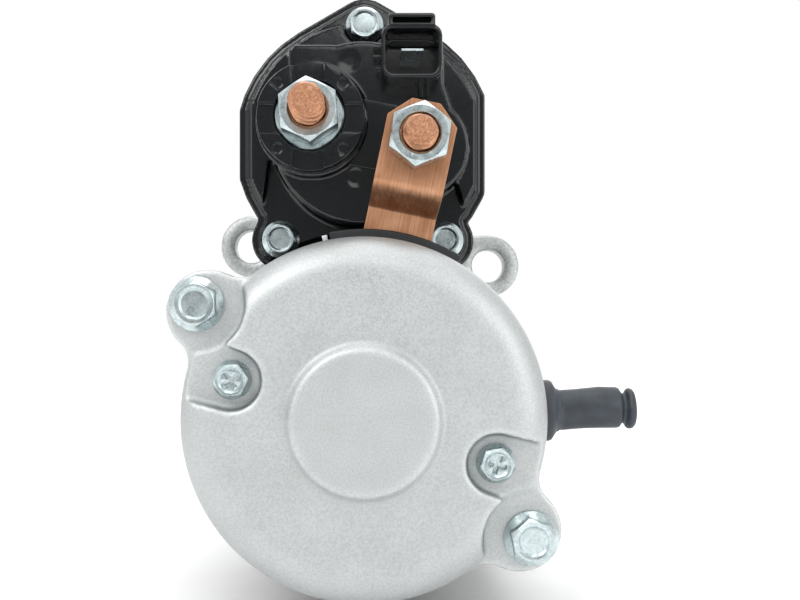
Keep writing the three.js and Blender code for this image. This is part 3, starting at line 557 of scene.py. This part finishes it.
def ground_ferrite():
    # Sintered ferrite, ground on its arcs: charcoal, dull, with grinding lines.
    made, tree, shader, place = surface("ground_ferrite", 0.0, 0.55)
    pitch = add(tree, "Mapping", {"Vector": place, "Scale": (per(6), per(0.4), per(6))})
    lines = add(tree, "TexNoise", {"Vector": pitch.outputs["Vector"], "Scale": 1.0, "Detail": 2.0})
    colour_from(tree, shader, lines.outputs["Fac"], [(0.3, "#2E2F31"), (0.7, "#47484B")])
    relief(tree, shader, lines.outputs["Fac"], 0.01)
    return made


def moulded_rubber(name, deep, pale):
    # Moulded rubber: soft sheen, a dry bloom in patches and a fine skin.
    made, tree, shader, place = surface(name, 0.0, 0.55)
    bloom = add(tree, "TexNoise", {"Vector": place, "Scale": per(5), "Detail": 5.0})
    skin = add(tree, "TexNoise", {"Vector": place, "Scale": per(0.7), "Detail": 2.0})
    colour_from(tree, shader, bloom.outputs["Fac"], [(0.3, deep), (0.7, pale)])
    vary(tree, shader, bloom.outputs["Fac"], 0.42, 0.62)
    relief(tree, shader, skin.outputs["Fac"], 0.02)
    return made


FINISHES = {
    "cast_aluminium": cast_aluminium(), "blasted_aluminium": blasted_aluminium(),
    "zinc_plate": zinc_plate(), "machined_steel": machined_steel(),
    "laminations": stacked_laminations(), "copper": turned_copper(),
    "bronze": sintered_bronze(), "painted_steel": painted_steel(),
    "black_phenolic": black_phenolic(), "filled_nylon": filled_nylon(),
    "carbon": brush_carbon(), "ferrite": ground_ferrite(),
    "rubber": moulded_rubber("slate_rubber", "#23282E", "#363E46"),
}
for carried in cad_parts.values():
    carried.material_slots[0].material = FINISHES[carried.data.materials[0].name]


# ---- Rear cover, yoke and drive housing ----
def rear_cover():
    crown = (COVER_R - 8, COVER_FACE + 8)
    shell = turned("rear_cover", [
        (0, BOSS_FACE), (16, BOSS_FACE), (17.5, COVER_FACE), *arc(crown, 8, 270, 360, 12),
        (COVER_R, COVER_FRONT), (38.4, COVER_FRONT), (36.6, -123), (35, -126.4), (29, -130),
        (14, -130), (14, -124.3), (11.1, -124.3), (11.1, -132), (0, -132),
    ], steps=128)
    hollow = drum(38.3, BOLT_SEAT - 1, COVER_FRONT + 1, sides=128)
    for i, angle in enumerate(BOLT_ANGLES):
        outline = ear(COVER_R - 0.4, 9.4, BOLT_EAR_AT, 6)
        bolt_ear = plate("ear", outline, BOLT_SEAT, COVER_FRONT, angle)
        join(shell, cut(bolt_ear, copy_of(hollow, "hollow")))
        start = angle - 27 if i else angle
        lip = sector(COVER_R - 1, COVER_R + 0.8, start, start + 27)
        join(shell, plate("lip", lip, COVER_FRONT - 2.5, COVER_FRONT))
    bpy.data.objects.remove(hollow)
    for angle in HOLDER_SCREW_ANGLES:
        join(shell, drum(8.6, -131, -125.2, polar(HOLDER_SCREW_R, angle)))
    for angle in BOLT_ANGLES:
        middle = polar(BOLT_R, angle)
        cut(shell, drum(11, -136, BOLT_SEAT, middle), drum(2.9, -130, -110, middle, 24))
    for angle in HOLDER_SCREW_ANGLES:
        middle = polar(HOLDER_SCREW_R, angle)
        pocket = [*arc((0, 0), 6.8, 90, 270, 24), (14, -7.4), (14, 7.4)]
        cut(shell, plate("pocket", pocket, COVER_FACE - 2, HOLDER_SCREW_SEAT, angle, middle),
            drum(2.4, -131, -120, middle, 24))
    cut(shell, plate("notch", sector(34, 46, *LEAD_ANGLES), -116, -108))
    return cast(shell, 0.6, 7)


def yoke():
    # Drawn from welded tube: bright-edged ends, a butt seam underneath and two crimps.
    shell = turned("yoke", [
        (36, -111.1), (36.6, -111.7), (40, -111.7), (40.5, -111.2), (40.5, -58.8), (40, -58.3),
        (36.6, -58.3), (36, -58.9),
    ], steps=128)
    cut(shell, plate("notch", sector(34, 46, *LEAD_ANGLES), -116, -108),
        cross_drum(4.8, 30, 46, DRAIN_Y, DRAIN_Z))
    cut(shell, brick((-0.25, 0.25), (-112, -58), (-41, -40.15)))
    for angle in (45, 135, 225, 315):
        middle = polar(40.9, angle)
        for y in (-98, -70):
            bpy.ops.object.select_all(action="DESELECT")
            bpy.ops.mesh.primitive_uv_sphere_add(
                segments=24, ring_count=12, radius=1.6 * MM,
                location=(middle[0] * MM, y * MM, middle[1] * MM),
            )
            cut(shell, settle(fresh("crimp")))
    return soften(shell, 0.12, 1, 50)


def drive_housing():
    shell = turned("drive_housing", [
        (0, -57.7), (41, -57.7), (41, -30), (37, -18), (37, 6), (33, 12), (22, 36), (15.5, 41),
        (14, 51.5), (0, 51.5),
    ], steps=128)
    join(shell, drum(46, -10, 0, sides=128))
    for x, z in EARS:
        outline = ear(44, 10, math.hypot(x, z), 7)
        join(shell, plate("ear", outline, -10, 0, math.degrees(math.atan2(z, x))))
    join(
        shell,
        brick((16, 40.6), (-10, 0), (34, 50)),
        brick((-24, 24), (-40, -1), (0, 40)), brick((-19, 19), (-40, -1), (38, 66)),
        drum(24.2, -40, -28, SOLENOID, 96), drum(19, -30, -1, SOLENOID, 96),
        drum(6.5, -40, -28, (28.5, 66)), drum(6.5, -40, -28, (-28.5, 66)),
    )
    for angle in BOLT_ANGLES:
        join(shell, plate("boss", ear(38, 7.5, BOLT_R, 5), -57.7, -36, angle))
    cut(
        shell,
        drum(35, -60, -30, sides=128), drum(30, -31, -2, sides=128),
        turned("nose", [(0, -3), (30, -3), (30, 8), (18, 34), (18, 38), (0, 38)]),
        drum(9.4, 37, 49.4), brick((-20.8, 20.8), (-29.6, -3.6), (0, 36)),
        brick((-15.2, 15.2), (-38, -3.6), (26, 66)),
        drum(15.2, -38, -3.6, SOLENOID), drum(12.8, -41, -37, SOLENOID),
        cross_drum(3.3, -17.6, 17.6, -14.375, 42, 32),
        brick((-23, 23), (2, 34), (-50, -9)),
    )
    for hole in EARS:
        cut(shell, drum(5.4, -11, 1, hole, 48))
    for angle in BOLT_ANGLES:
        cut(shell, drum(2.9, -60, -43, polar(BOLT_R, angle), 24))
    return cast(shell, 0.95, 6)


# ---- Solenoid cover ----
def cap_outline(y0, y1, inset=0.0):
    """The solenoid's outline with its three screw lugs, drawn in by an inset."""
    rim, lug = 32.3 - inset, 7.4 - inset
    x, z = CAP_SCREWS[0]
    top = taper(rim, lug, z - 66)
    whole = plate("outline", top, y0, y1, 90, (x, 66))
    combine(whole, [brick((inset - 30.9, 30.1 - inset), (y0 - 1, y1 + 1), (20, 110))], "INTERSECT")
    for x, z in CAP_SCREWS[1:]:
        outline = ear(rim - 1.5, lug, math.hypot(x, z - 66), 5 + inset)
        turn = math.degrees(math.atan2(z - 66, x))
        join(whole, plate("lug", outline, y0, y1, turn, SOLENOID))
    return cut(whole, drum(43 + inset / 2, y0 - 1, y1 + 1, sides=160))


def gather(base, *shells):
    """Puts closed shells that sink into each other into one piece, without cutting them."""
    only(base)
    for shell in shells:
        shell.select_set(True)
    bpy.ops.object.join()
    return base


def insulator_ring():
    """The collar round the battery stud: well, four channels and four dimples."""
    ring = drum(12.6, -118, -106, (-12.4, 69.6), 96)
    cut(
        ring, drum(8.4, -119, -115.2, BATTERY, 72),
        brick((-16.8, -9.2), (-119, -116.6), (50, 90)),
        brick((-30, 4), (-119, -116.6), (65.6, 72.6)),
        drum(4.25, -121, -103, BATTERY, 40),
    )
    for angle in (45, 135, 225, 315):
        x, z = polar(10.7, angle)
        cut(ring, drum(1.2, -119, -117.7, (-12.4 + x, 69.6 + z), 24))
    return soften(ring, 0.2, 2, 40)


def signal_socket():
    """The plug socket's wall round its well, with the bridge that the plug's catch holds."""
    wall = plate("socket", rounded((4, 18), (78, 90.3), 2.6), -120, -106)
    join(wall, plate("latch", rounded((5.6, 16.4), (88, 92.8), 0.8), -120, -112))
    cut(wall, plate("well", rounded((4.9, 17.1), (78.9, 89.4), 1.9), -121, -108),
        brick((6.6, 15.4), (-121, -113.5), (90.6, 91.9)),
        brick((7.9, 14.5), (-109, -103), (84, 85.4)))
    return soften(wall, 0.22, 2, 40)


def solenoid_cover():
    step = drum(28.9, -103, -99, SOLENOID, 96)
    combine(step, [brick((-27.6, 27), (-105, -98), (30, 110))], "INTERSECT")
    cut(step, plate("low_end", [
        (-23.2, 61.5), (-24.9, 50), (-30, 40), (30, 40), (24.6, 50), (22.8, 55.5), (0, 66),
    ], -105, -98))
    body = join(
        cap_outline(-98, -95), cap_outline(-100, -97.5, 2.1), step,
        drum(21.9, -110, -99, (-0.2, 66.9), 96),
        plate("shoulder", rounded((-17.9, -6), (72, 88), 1.5), -110, -99),
        drum(12.4, -110, -99, MOTOR, 72),
        plate("corner", [(4, 87.6), (18.9, 87.6), (18.9, 79), (21.4, 71.6), (12, 62), (0, 62)],
              -110, -99),
        drum(13.3, -111, -109, (-12.4, 69.6), 96), drum(8, -119.7, -108, MOTOR),
    )
    cut(
        body, drum(20.4, -105.5, -94, SOLENOID, 96), drum(42.7, -104, -94, sides=160),
        drum(8, -112, -104, BATTERY), drum(4.25, -121, -104, MOTOR, 40),
        drum(2.2, -111, -109.8, (-3.4, 84), 40), drum(2.2, -111, -109.8, (-1.9, 56.4), 40),
        brick((7, 15.4), (-109, -103), (83, 86.4)),
    )
    for x, z in CAP_SCREWS:
        cut(body, drum(2.4, -101, -94, (x, z), 24), drum(5.4, -106, -100, (x, z), 48))
    body.name = body.data.name = "solenoid_cover"
    ribs = (((2.2, 5), (-113, -109), (86.2, 87)), ((2.2, 5), (-113, -109), (83.9, 84.7)),
            ((3, 4.6), (-115, -109), (80.6, 81.4)), ((13, 13.8), (-114, -109), (74.6, 79)),
            ((14.6, 15.4), (-112.5, -109), (75.2, 79)))
    pad = plate("pad", rounded((-6.5, 6.5), (-8, 8), 1.5), -110.4, -109, -10, (1.5, 66.5))
    return gather(cast(body, 0.42, 3), insulator_ring(), signal_socket(), soften(pad, 0.15),
                  *(soften(brick(*rib), 0.12) for rib in ribs))


def solenoid_case():
    case = drum(24.2, -94.7, -40.5, SOLENOID, 128)
    join(case, cap_outline(-94.7, -91.5, 2))
    for turn in (0, 180):
        join(case, plate("lug", ear(23.7, 5.5, 28.5, 3), -44, -40.5, turn, SOLENOID))
    groove = turned("groove", [(23.6, -50.6), (25, -51.6), (25, -48.4), (23.6, -49.4)], SOLENOID)
    cut(case, groove, drum(22.4, -96, -43.5, SOLENOID, 96), drum(9.6, -45, -39, SOLENOID))
    for screw in CAP_SCREWS:
        cut(case, drum(2.4, -96, -90, screw, 24))
    for x in (-28.5, 28.5):
        cut(case, drum(2.8, -45, -39, (x, 66), 24))
    return cast(case, 0.55, 4)


# ---- Fasteners ----
def hexagon(flat, y0, y1, chamfer_back=True, chamfer_front=False):
    """A hexagonal prism whose corners are turned off at one end or both."""
    corner = flat / math.sqrt(3)
    drop = (corner - flat / 2) * 1.1
    prism = drum(corner, y0, y1, sides=6)
    far, near = flat / 2 * 0.95, corner + 1
    bell = [(0, y0), (far, y0), (corner, y0 + drop), (near, y0 + drop)]
    if not chamfer_back:
        bell = [(0, y0), (near, y0)]
    bell += [(near, y1 - drop), (corner, y1 - drop), (far, y1), (0, y1)] if chamfer_front else [
        (near, y1), (0, y1)]
    return combine(prism, [turned("bell", bell, steps=60)], "INTERSECT")


def flange_screw(flat, flange, height, shank, length, dish, crossed=False):
    """A headed screw whose seat is at Y 0: hexagon, dished top, flange, shank and point."""
    head = turned("screw", [
        (0, -height / 2), (flat / 2, -height / 2), (flange - 0.3, -1.0), (flange, -0.7),
        (flange, -0.25), (flange - 0.25, 0), (shank, 0), (shank, length - 1),
        (shank - 0.7, length), (0, length),
    ], steps=60)
    join(head, hexagon(flat, -height, -height / 4))
    rim = flat / 2 * dish
    cut(head, turned("dish", [
        (0, -height - 1), (rim + 0.25, -height - 1), (rim, -height + 0.1), (rim - 0.45, -height + 0.5),
        (0, -height + 0.4),
    ], steps=60))
    if crossed:
        arm, half = flat * 0.3, flat * 0.075
        cross = brick((-arm, arm), (-height - 1, -height + 2), (-half, half))
        join(cross, brick((-half, half), (-height - 1, -height + 2), (-arm, arm)))
        cut(head, cross)
    return soften(head, 0.1, 2, 45)


def nut(flat, height, bore):
    body = hexagon(flat, -height, 0, chamfer_front=True)
    mouth = turned("mouth", [
        (0, -height - 1), (bore + 0.8, -height - 1), (bore + 0.6, -height), (bore, -height + 0.7),
        (bore, 1), (0, 1),
    ], steps=60)
    return soften(cut(body, mouth), 0.12, 2, 40)


def threaded_stud(tip, centre):
    """A copper stud whose M8 thread, 1.25 mm a turn, is cut by moving the points of its flank."""
    shank = [(4.0, -105.2 - i * 0.2) for i in range(int((-105.2 - tip - 0.9) / 0.2) + 1)]
    body = turned("stud", [
        (0, -102.9), (6.2, -102.9), (6.4, -103.1), (6.4, -105), (6.2, -105.2), *shank,
        (4.0, tip + 0.9), (3.15, tip), (0, tip),
    ], steps=48)
    for vertex in body.data.vertices:
        x, y, z = vertex.co / MM
        if 3.9 < math.hypot(x, z) < 4.1 and tip + 0.8 < y < -112:
            phase = (y / 1.25 + math.atan2(z, x) / (2 * math.pi)) % 1
            flank = 1 - 0.15 * (1 - abs(2 * phase - 1)) ** 0.8
            vertex.co.x, vertex.co.z = x * flank * MM, z * flank * MM
    body.data.transform(Matrix.Translation(Vector((centre[0], 0, centre[1])) * MM))
    return smooth_faces(body, 32)


def spring(radius, thick, length, turns, start):
    """A coil of round wire along Y from a start height, about the solenoid's axis."""
    bpy.ops.object.select_all(action="DESELECT")
    bpy.ops.mesh.primitive_circle_add(
        vertices=14, radius=thick / 2 * MM, location=(radius * MM, 0, 0),
    )
    coil = settle(fresh("coil"))
    wind = coil.modifiers.new("wind", "SCREW")
    wind.axis, wind.iterations, wind.steps, wind.render_steps = "Y", turns, 40, 40
    wind.screw_offset = (length - thick) / turns * MM
    only(coil)
    bpy.ops.object.modifier_apply(modifier=wind.name)
    bpy.ops.object.mode_set(mode="EDIT")
    bpy.ops.mesh.select_all(action="SELECT")
    bpy.ops.mesh.fill_holes(sides=20)
    bpy.ops.object.mode_set(mode="OBJECT")
    low = min(vertex.co.y for vertex in coil.data.vertices)
    coil.data.transform(Matrix.Translation((0, start * MM - low, SOLENOID[1] * MM)))
    return smooth_faces(tidy_mesh(coil), 60)


# ---- Motor lead, grommet, drain tube and blade ----
def lead_bar():
    """Copper strip with two eased bends, cut to its outline and turned to its tilt."""
    middle = [(8.7, -121), (-10.5, -121)]
    middle += [(-11.3, -120.8), (-12, -120.2), (-12.5, -119.4), (-15.1, -114.1), (-15.6, -113.3),
               (-16.3, -112.7), (-17, -112.5), (-31, -112.5)]
    back, front = [], []
    for i, (z, y) in enumerate(middle):
        before, after = middle[max(i - 1, 0)], middle[min(i + 1, len(middle) - 1)]
        along = Vector((after[0] - before[0], after[1] - before[1])).normalized()
        back.append((z + along.y, y - along.x))
        front.append((z - along.y, y + along.x))
    loop = back + front[::-1]
    half = BAR_WIDTH / 2
    bar = wire("motor_lead_bar", [(-half, y, z) for z, y in loop])
    only(bar)
    bpy.ops.object.mode_set(mode="EDIT")
    bpy.ops.mesh.select_all(action="SELECT")
    bpy.ops.mesh.edge_face_add()
    bpy.ops.mesh.extrude_region_move(TRANSFORM_OT_translate={"value": (BAR_WIDTH * MM, 0, 0)})
    bpy.ops.object.mode_set(mode="OBJECT")
    tidy_mesh(bar)
    outline = [(-half, -33), (half, -33), (half, 3.9), (3.3, 8.6), (-3.3, 8.6), (-half, 3.9)]
    combine(bar, [plate("outline", outline, -125, -108)], "INTERSECT")
    cut(bar, drum(4.3, -125, -118))
    twin = copy_of(soften(bar, 0.22, 2, 40), "motor_lead_bar", (MOTOR[0], 0, MOTOR[1]), -BAR_TILT)
    bpy.data.objects.remove(bar)
    return smooth_faces(twin)


def grommet():
    low, high = LEAD_ANGLES
    block = plate("lead_grommet", sector(36.7, 43.7, low + 0.6, high - 0.6), -115.7, -108.3)
    slot = brick((-BAR_WIDTH / 2 - 0.2, BAR_WIDTH / 2 + 0.2), (-113.8, -111.2), (-40, 0))
    spin = Matrix.Rotation(math.radians(BAR_TILT), 4, "Y")
    slot.data.transform(Matrix.Translation(Vector((MOTOR[0], 0, MOTOR[1])) * MM) @ spin)
    return soften(cut(block, slot), 0.5, 3, 40)


def drain_tube():
    """A rubber nozzle, turned along X: collar, hollow neck, limp body, notch and lip."""
    profile = [
        (3, -36.8), (4.3, -36.8), (4.35, -41), (7.2, -41), (7.4, -41.4), (7.4, -44.8), (7.15, -45.4),
        (6.2, -46), (5.5, -46.5), (5.2, -46.9), (5.15, -47.2), (4.85, -47.4), (4.9, -48.4),
        (4.85, -51), (4.9, -54), (5.0, -57), (4.95, -61.2), (4.75, -61.8), (4.2, -62.2),
        (3.75, -62.5), (3.6, -62.9), (3.75, -63.3), (4.3, -63.6), (4.8, -64), (4.95, -64.5),
        (4.8, -65.1), (4.3, -65.5), (3.5, -65.6), (3, -65.2),
    ]
    tube = turned("drain_tube", profile, steps=72)
    tube.data.transform(Matrix.Rotation(math.radians(90), 4, "Z"))
    for vertex in tube.data.vertices:
        x, y, z = vertex.co / MM
        limp = max(0.0, min(1.0, (x - 46) / 14))
        sag = 0.45 * limp * math.sin((x - 46) / 4.5) + 0.7 * limp
        press = 1 + 0.035 * limp * math.sin(3 * math.atan2(z, y) + x / 4)
        vertex.co = Vector((x, y * press + DRAIN_Y, z * press + sag + DRAIN_Z)) * MM
    tidy_mesh(tube)
    return smooth_faces(tube, 60)


def blade():
    tongue = plate("signal_blade", [
        (8.65, 84.4), (13.75, 84.4), (13.75, 85), (8.65, 85),
    ], -118.5, -106.3)
    return soften(tongue, 0.18, 2, 40)


# ---- Drive end ----
def refined(node, width):
    """A copy of a carried-over shape with its edges broken as a lathe or hob leaves them."""
    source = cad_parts[node]
    twin = source.copy()
    twin.data = source.data.copy()
    bpy.context.collection.objects.link(twin)
    twin.parent = None
    twin.matrix_world = Matrix.Identity(4)
    twin.name = twin.data.name = node + "_finished"
    only(twin)
    bpy.ops.object.mode_set(mode="EDIT")
    bpy.ops.mesh.select_all(action="SELECT")
    bpy.ops.mesh.remove_doubles(threshold=0.002 * MM)
    bpy.ops.mesh.dissolve_limited(angle_limit=math.radians(0.5))
    bpy.ops.object.mode_set(mode="OBJECT")
    return soften(twin, width, 2, 32)


def clutch_plate():
    # The folded steel cover that closes the roller clutch.
    ring = turned("clutch_cover_plate", [
        (12.4, -3.3), (20.3, -3.3), (20.3, -2.5), (19.9, -2.2), (12.4, -2.2),
    ], steps=96)
    return soften(ring, 0.15, 2, 40)


# ---- Pieces put on the frame ----
ALU, CAST, ZINC, STEEL = (FINISHES[s] for s in (
    "blasted_aluminium", "cast_aluminium", "zinc_plate", "machined_steel"))
COPPER, PAINT, BLACK, RUBBER = (FINISHES[s] for s in (
    "copper", "painted_steel", "black_phenolic", "rubber"))

install(rear_cover(), "rear_cover_casting", "motor_case", "blasted_aluminium", ALU, "rear_cover")
install(yoke(), "yoke_tube", "motor_case", "painted_steel", PAINT, "yoke")
install(drive_housing(), "drive_housing_casting", "motor_case", "cast_aluminium", CAST,
        "drive_housing")
install(solenoid_cover(), "solenoid_cover_moulding", "motor_case", "black_phenolic", BLACK,
        "solenoid_cover")
install(solenoid_case(), "solenoid_case_drawn", "motor_case", "painted_steel", PAINT,
        "solenoid_case")

bolt = flange_screw(9, 6.1, 4.5, 2.4, 83.9, 0.74)
holder_screw = flange_screw(7, 4.35, 3.5, 2, 6.4, 0.8, crossed=True)
cover_screw = flange_screw(7, 4.6, 3.5, 2, 9, 0.82)
for i, angle in enumerate(BOLT_ANGLES):
    x, z = polar(BOLT_R, angle)
    install(copy_of(bolt, "bolt", (x, BOLT_SEAT - 0.1, z), (2, 10)[i]),
            f"through_bolt_{i + 1}_headed", "motor_case", "zinc_plate", ZINC, f"through_bolt_{i + 1}")
for i, angle in enumerate(HOLDER_SCREW_ANGLES):
    x, z = polar(HOLDER_SCREW_R, angle)
    install(copy_of(holder_screw, "screw", (x, HOLDER_SCREW_SEAT - 0.1, z), (35, -20)[i]),
            f"brush_holder_screw_{i + 1}_crossed", "motor_case", "zinc_plate", ZINC,
            f"brush_holder_screw_{i + 1}")
for i, (x, z) in enumerate(CAP_SCREWS):
    install(copy_of(cover_screw, "screw", (x, CAP_SEAT - 0.1, z), (8, 22, 40)[i]),
            f"cover_screw_{i + 1}_headed", "motor_case", "zinc_plate", ZINC, f"cover_screw_{i + 1}")
for side, x in (("left", -28.5), ("right", 28.5)):
    install(copy_of(cover_screw, "screw", (x, -44.1, 66), 15),
            f"solenoid_screw_{side}", "motor_case", "zinc_plate", ZINC)
for tool in (bolt, holder_screw, cover_screw):
    bpy.data.objects.remove(tool)

install(threaded_stud(-137, BATTERY), "battery_stud_threaded", "motor_case", "copper", COPPER,
        "battery_stud")
install(threaded_stud(-132, MOTOR), "motor_stud_threaded", "motor_case", "copper", COPPER,
        "motor_stud")
washer = turned("washer", [
    (4.3, -1.6), (7.7, -1.6), (8, -1.3), (8, -0.3), (7.7, 0), (4.3, 0),
], steps=72)
install(copy_of(smooth_faces(washer), "washer", (BATTERY[0], -115.4, BATTERY[1])),
        "battery_washer_flat", "motor_case", "zinc_plate", ZINC, "battery_washer")
bpy.data.objects.remove(washer)
tall_nut, low_nut = nut(13, 8.3, 4.1), nut(13, 6.7, 4.1)
install(copy_of(tall_nut, "nut", (BATTERY[0], -117.3, BATTERY[1]), 4), "battery_nut_hexagon",
        "motor_case", "zinc_plate", ZINC, "battery_nut")
install(copy_of(low_nut, "nut", (MOTOR[0], -122.3, MOTOR[1]), -8.5), "motor_nut_hexagon",
        "motor_case", "zinc_plate", ZINC, "motor_nut")
for tool in (tall_nut, low_nut):
    bpy.data.objects.remove(tool)

install(lead_bar(), "motor_lead_strip", "motor_case", "copper", rolled_copper(), "motor_lead_bar")
install(grommet(), "lead_grommet_block", "motor_case", "rubber",
        moulded_rubber("black_rubber", "#0E1012", "#1B1E21"), "lead_grommet")
install(drain_tube(), "drain_nozzle", "motor_case", "rubber", RUBBER, "drain_tube")
install(blade(), "signal_blade_tongue", "motor_case", "zinc_plate", ZINC, "signal_blade")
tab = soften(plate("tab", rounded((-3, 2), (49.6, 51.6), 0.9), -112, -109.6, -8, (0.3, 0)), 0.15)
install(tab, "winding_tab", "motor_case", "zinc_plate", ZINC)
lug = soften(plate("lug", sector(41.2, 43.2, 101.5, 103.2, 4), -114.6, -112.4), 0.15)
install(lug, "grommet_lug", "motor_case", "blasted_aluminium", ALU)

install(refined("pinion", 0.22), "pinion_hobbed", "pinion", "machined_steel", STEEL, "pinion")
install(refined("clutch_shell", 0.25), "clutch_shell_turned", "clutch", "machined_steel", STEEL,
        "clutch_shell")
install(clutch_plate(), "clutch_cover_plate", "clutch", "machined_steel", STEEL)
return_spring = install(spring(11, 1.4, 19.9, 5, -40.2), "return_spring_coil", "motor_case",
                        "machined_steel", STEEL, "plunger_return_spring")
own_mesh(return_spring)
contact_spring = install(spring(4.4, 0.6, 5.4, 3, -105.2), "contact_spring_coil", "motor_case",
                         "machined_steel", STEEL, "contact_spring")
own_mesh(contact_spring)


# ---- Camera, floor and light, in metres ----
CAMERA_PLACE = (-0.0002, -0.382, 0.0224)
LEVEL_FROM_BEHIND = (math.pi / 2, 0, 0)
LENS, SENSOR = 51.48, 36
LENS_SHIFT = (0.04625, 0.025)
FLOOR_SIZE, FLOOR_Z = 1.7, -0.0468

bpy.ops.object.select_all(action="DESELECT")
bpy.ops.object.camera_add(location=CAMERA_PLACE, rotation=LEVEL_FROM_BEHIND)
camera = fresh("studio_camera")
camera.data.lens, camera.data.sensor_width = LENS, SENSOR
camera.data.shift_x, camera.data.shift_y = LENS_SHIFT
bpy.context.scene.camera = camera

bpy.ops.mesh.primitive_plane_add(size=FLOOR_SIZE, location=(0, 0, FLOOR_Z))
floor = fresh("studio_floor")
paper, paper_tree, paper_shader, paper_place = surface("matt_white_paper", 0.0, 0.9)
fibres = add(paper_tree, "TexNoise", {"Vector": paper_place, "Scale": per(40), "Detail": 3.0})
colour_from(paper_tree, paper_shader, fibres.outputs["Fac"], [(0.3, "#F6F6F6"), (0.7, "#FBFBFB")])
floor.data.materials.append(paper)


def softbox(name, place, aim, size, power):
    bpy.ops.object.light_add(type="AREA", location=place)
    lamp = fresh(name)
    lamp.data.shape, lamp.data.size, lamp.data.energy = "SQUARE", size, power
    toward = Vector(aim) - Vector(place)
    lamp.rotation_euler = toward.to_track_quat("-Z", "Y").to_euler()
    return lamp


MIDDLE = (0, -0.08, 0.025)
softbox("key_light", (-0.5, -0.75, 0.65), MIDDLE, 0.55, 5)
softbox("fill_light", (0.65, -0.65, 0.3), MIDDLE, 0.6, 2.5)
softbox("top_light", (0.05, -0.1, 0.9), MIDDLE, 0.7, 3)
softbox("back_light", (0.2, 0.8, 0.5), MIDDLE, 0.8, 2)
softbox("front_light", (0.1, -0.8, 0.42), MIDDLE, 0.3, 0.7)

world = bpy.data.worlds.new("studio")
bpy.context.scene.world = world
world.use_nodes = True
sky = world.node_tree
away = add(sky, "SeparateXYZ", {0: add(sky, "TexCoord").outputs["Generated"]})
ahead = add(sky, "MapRange", {"Value": away.outputs["Y"], "From Min": -0.85, "From Max": -0.35})
paleness = add(sky, "ValToRGB", {"Fac": ahead.outputs["Result"]}, [(0.0, "#9A9A9A"), (1.0, "#FFFFFF")])
backdrop = sky.nodes["Background"]
sky.links.new(paleness.outputs["Color"], backdrop.inputs["Color"])
backdrop.inputs["Strength"].default_value = 1.0
bpy.context.scene.view_settings.view_transform = "Standard"
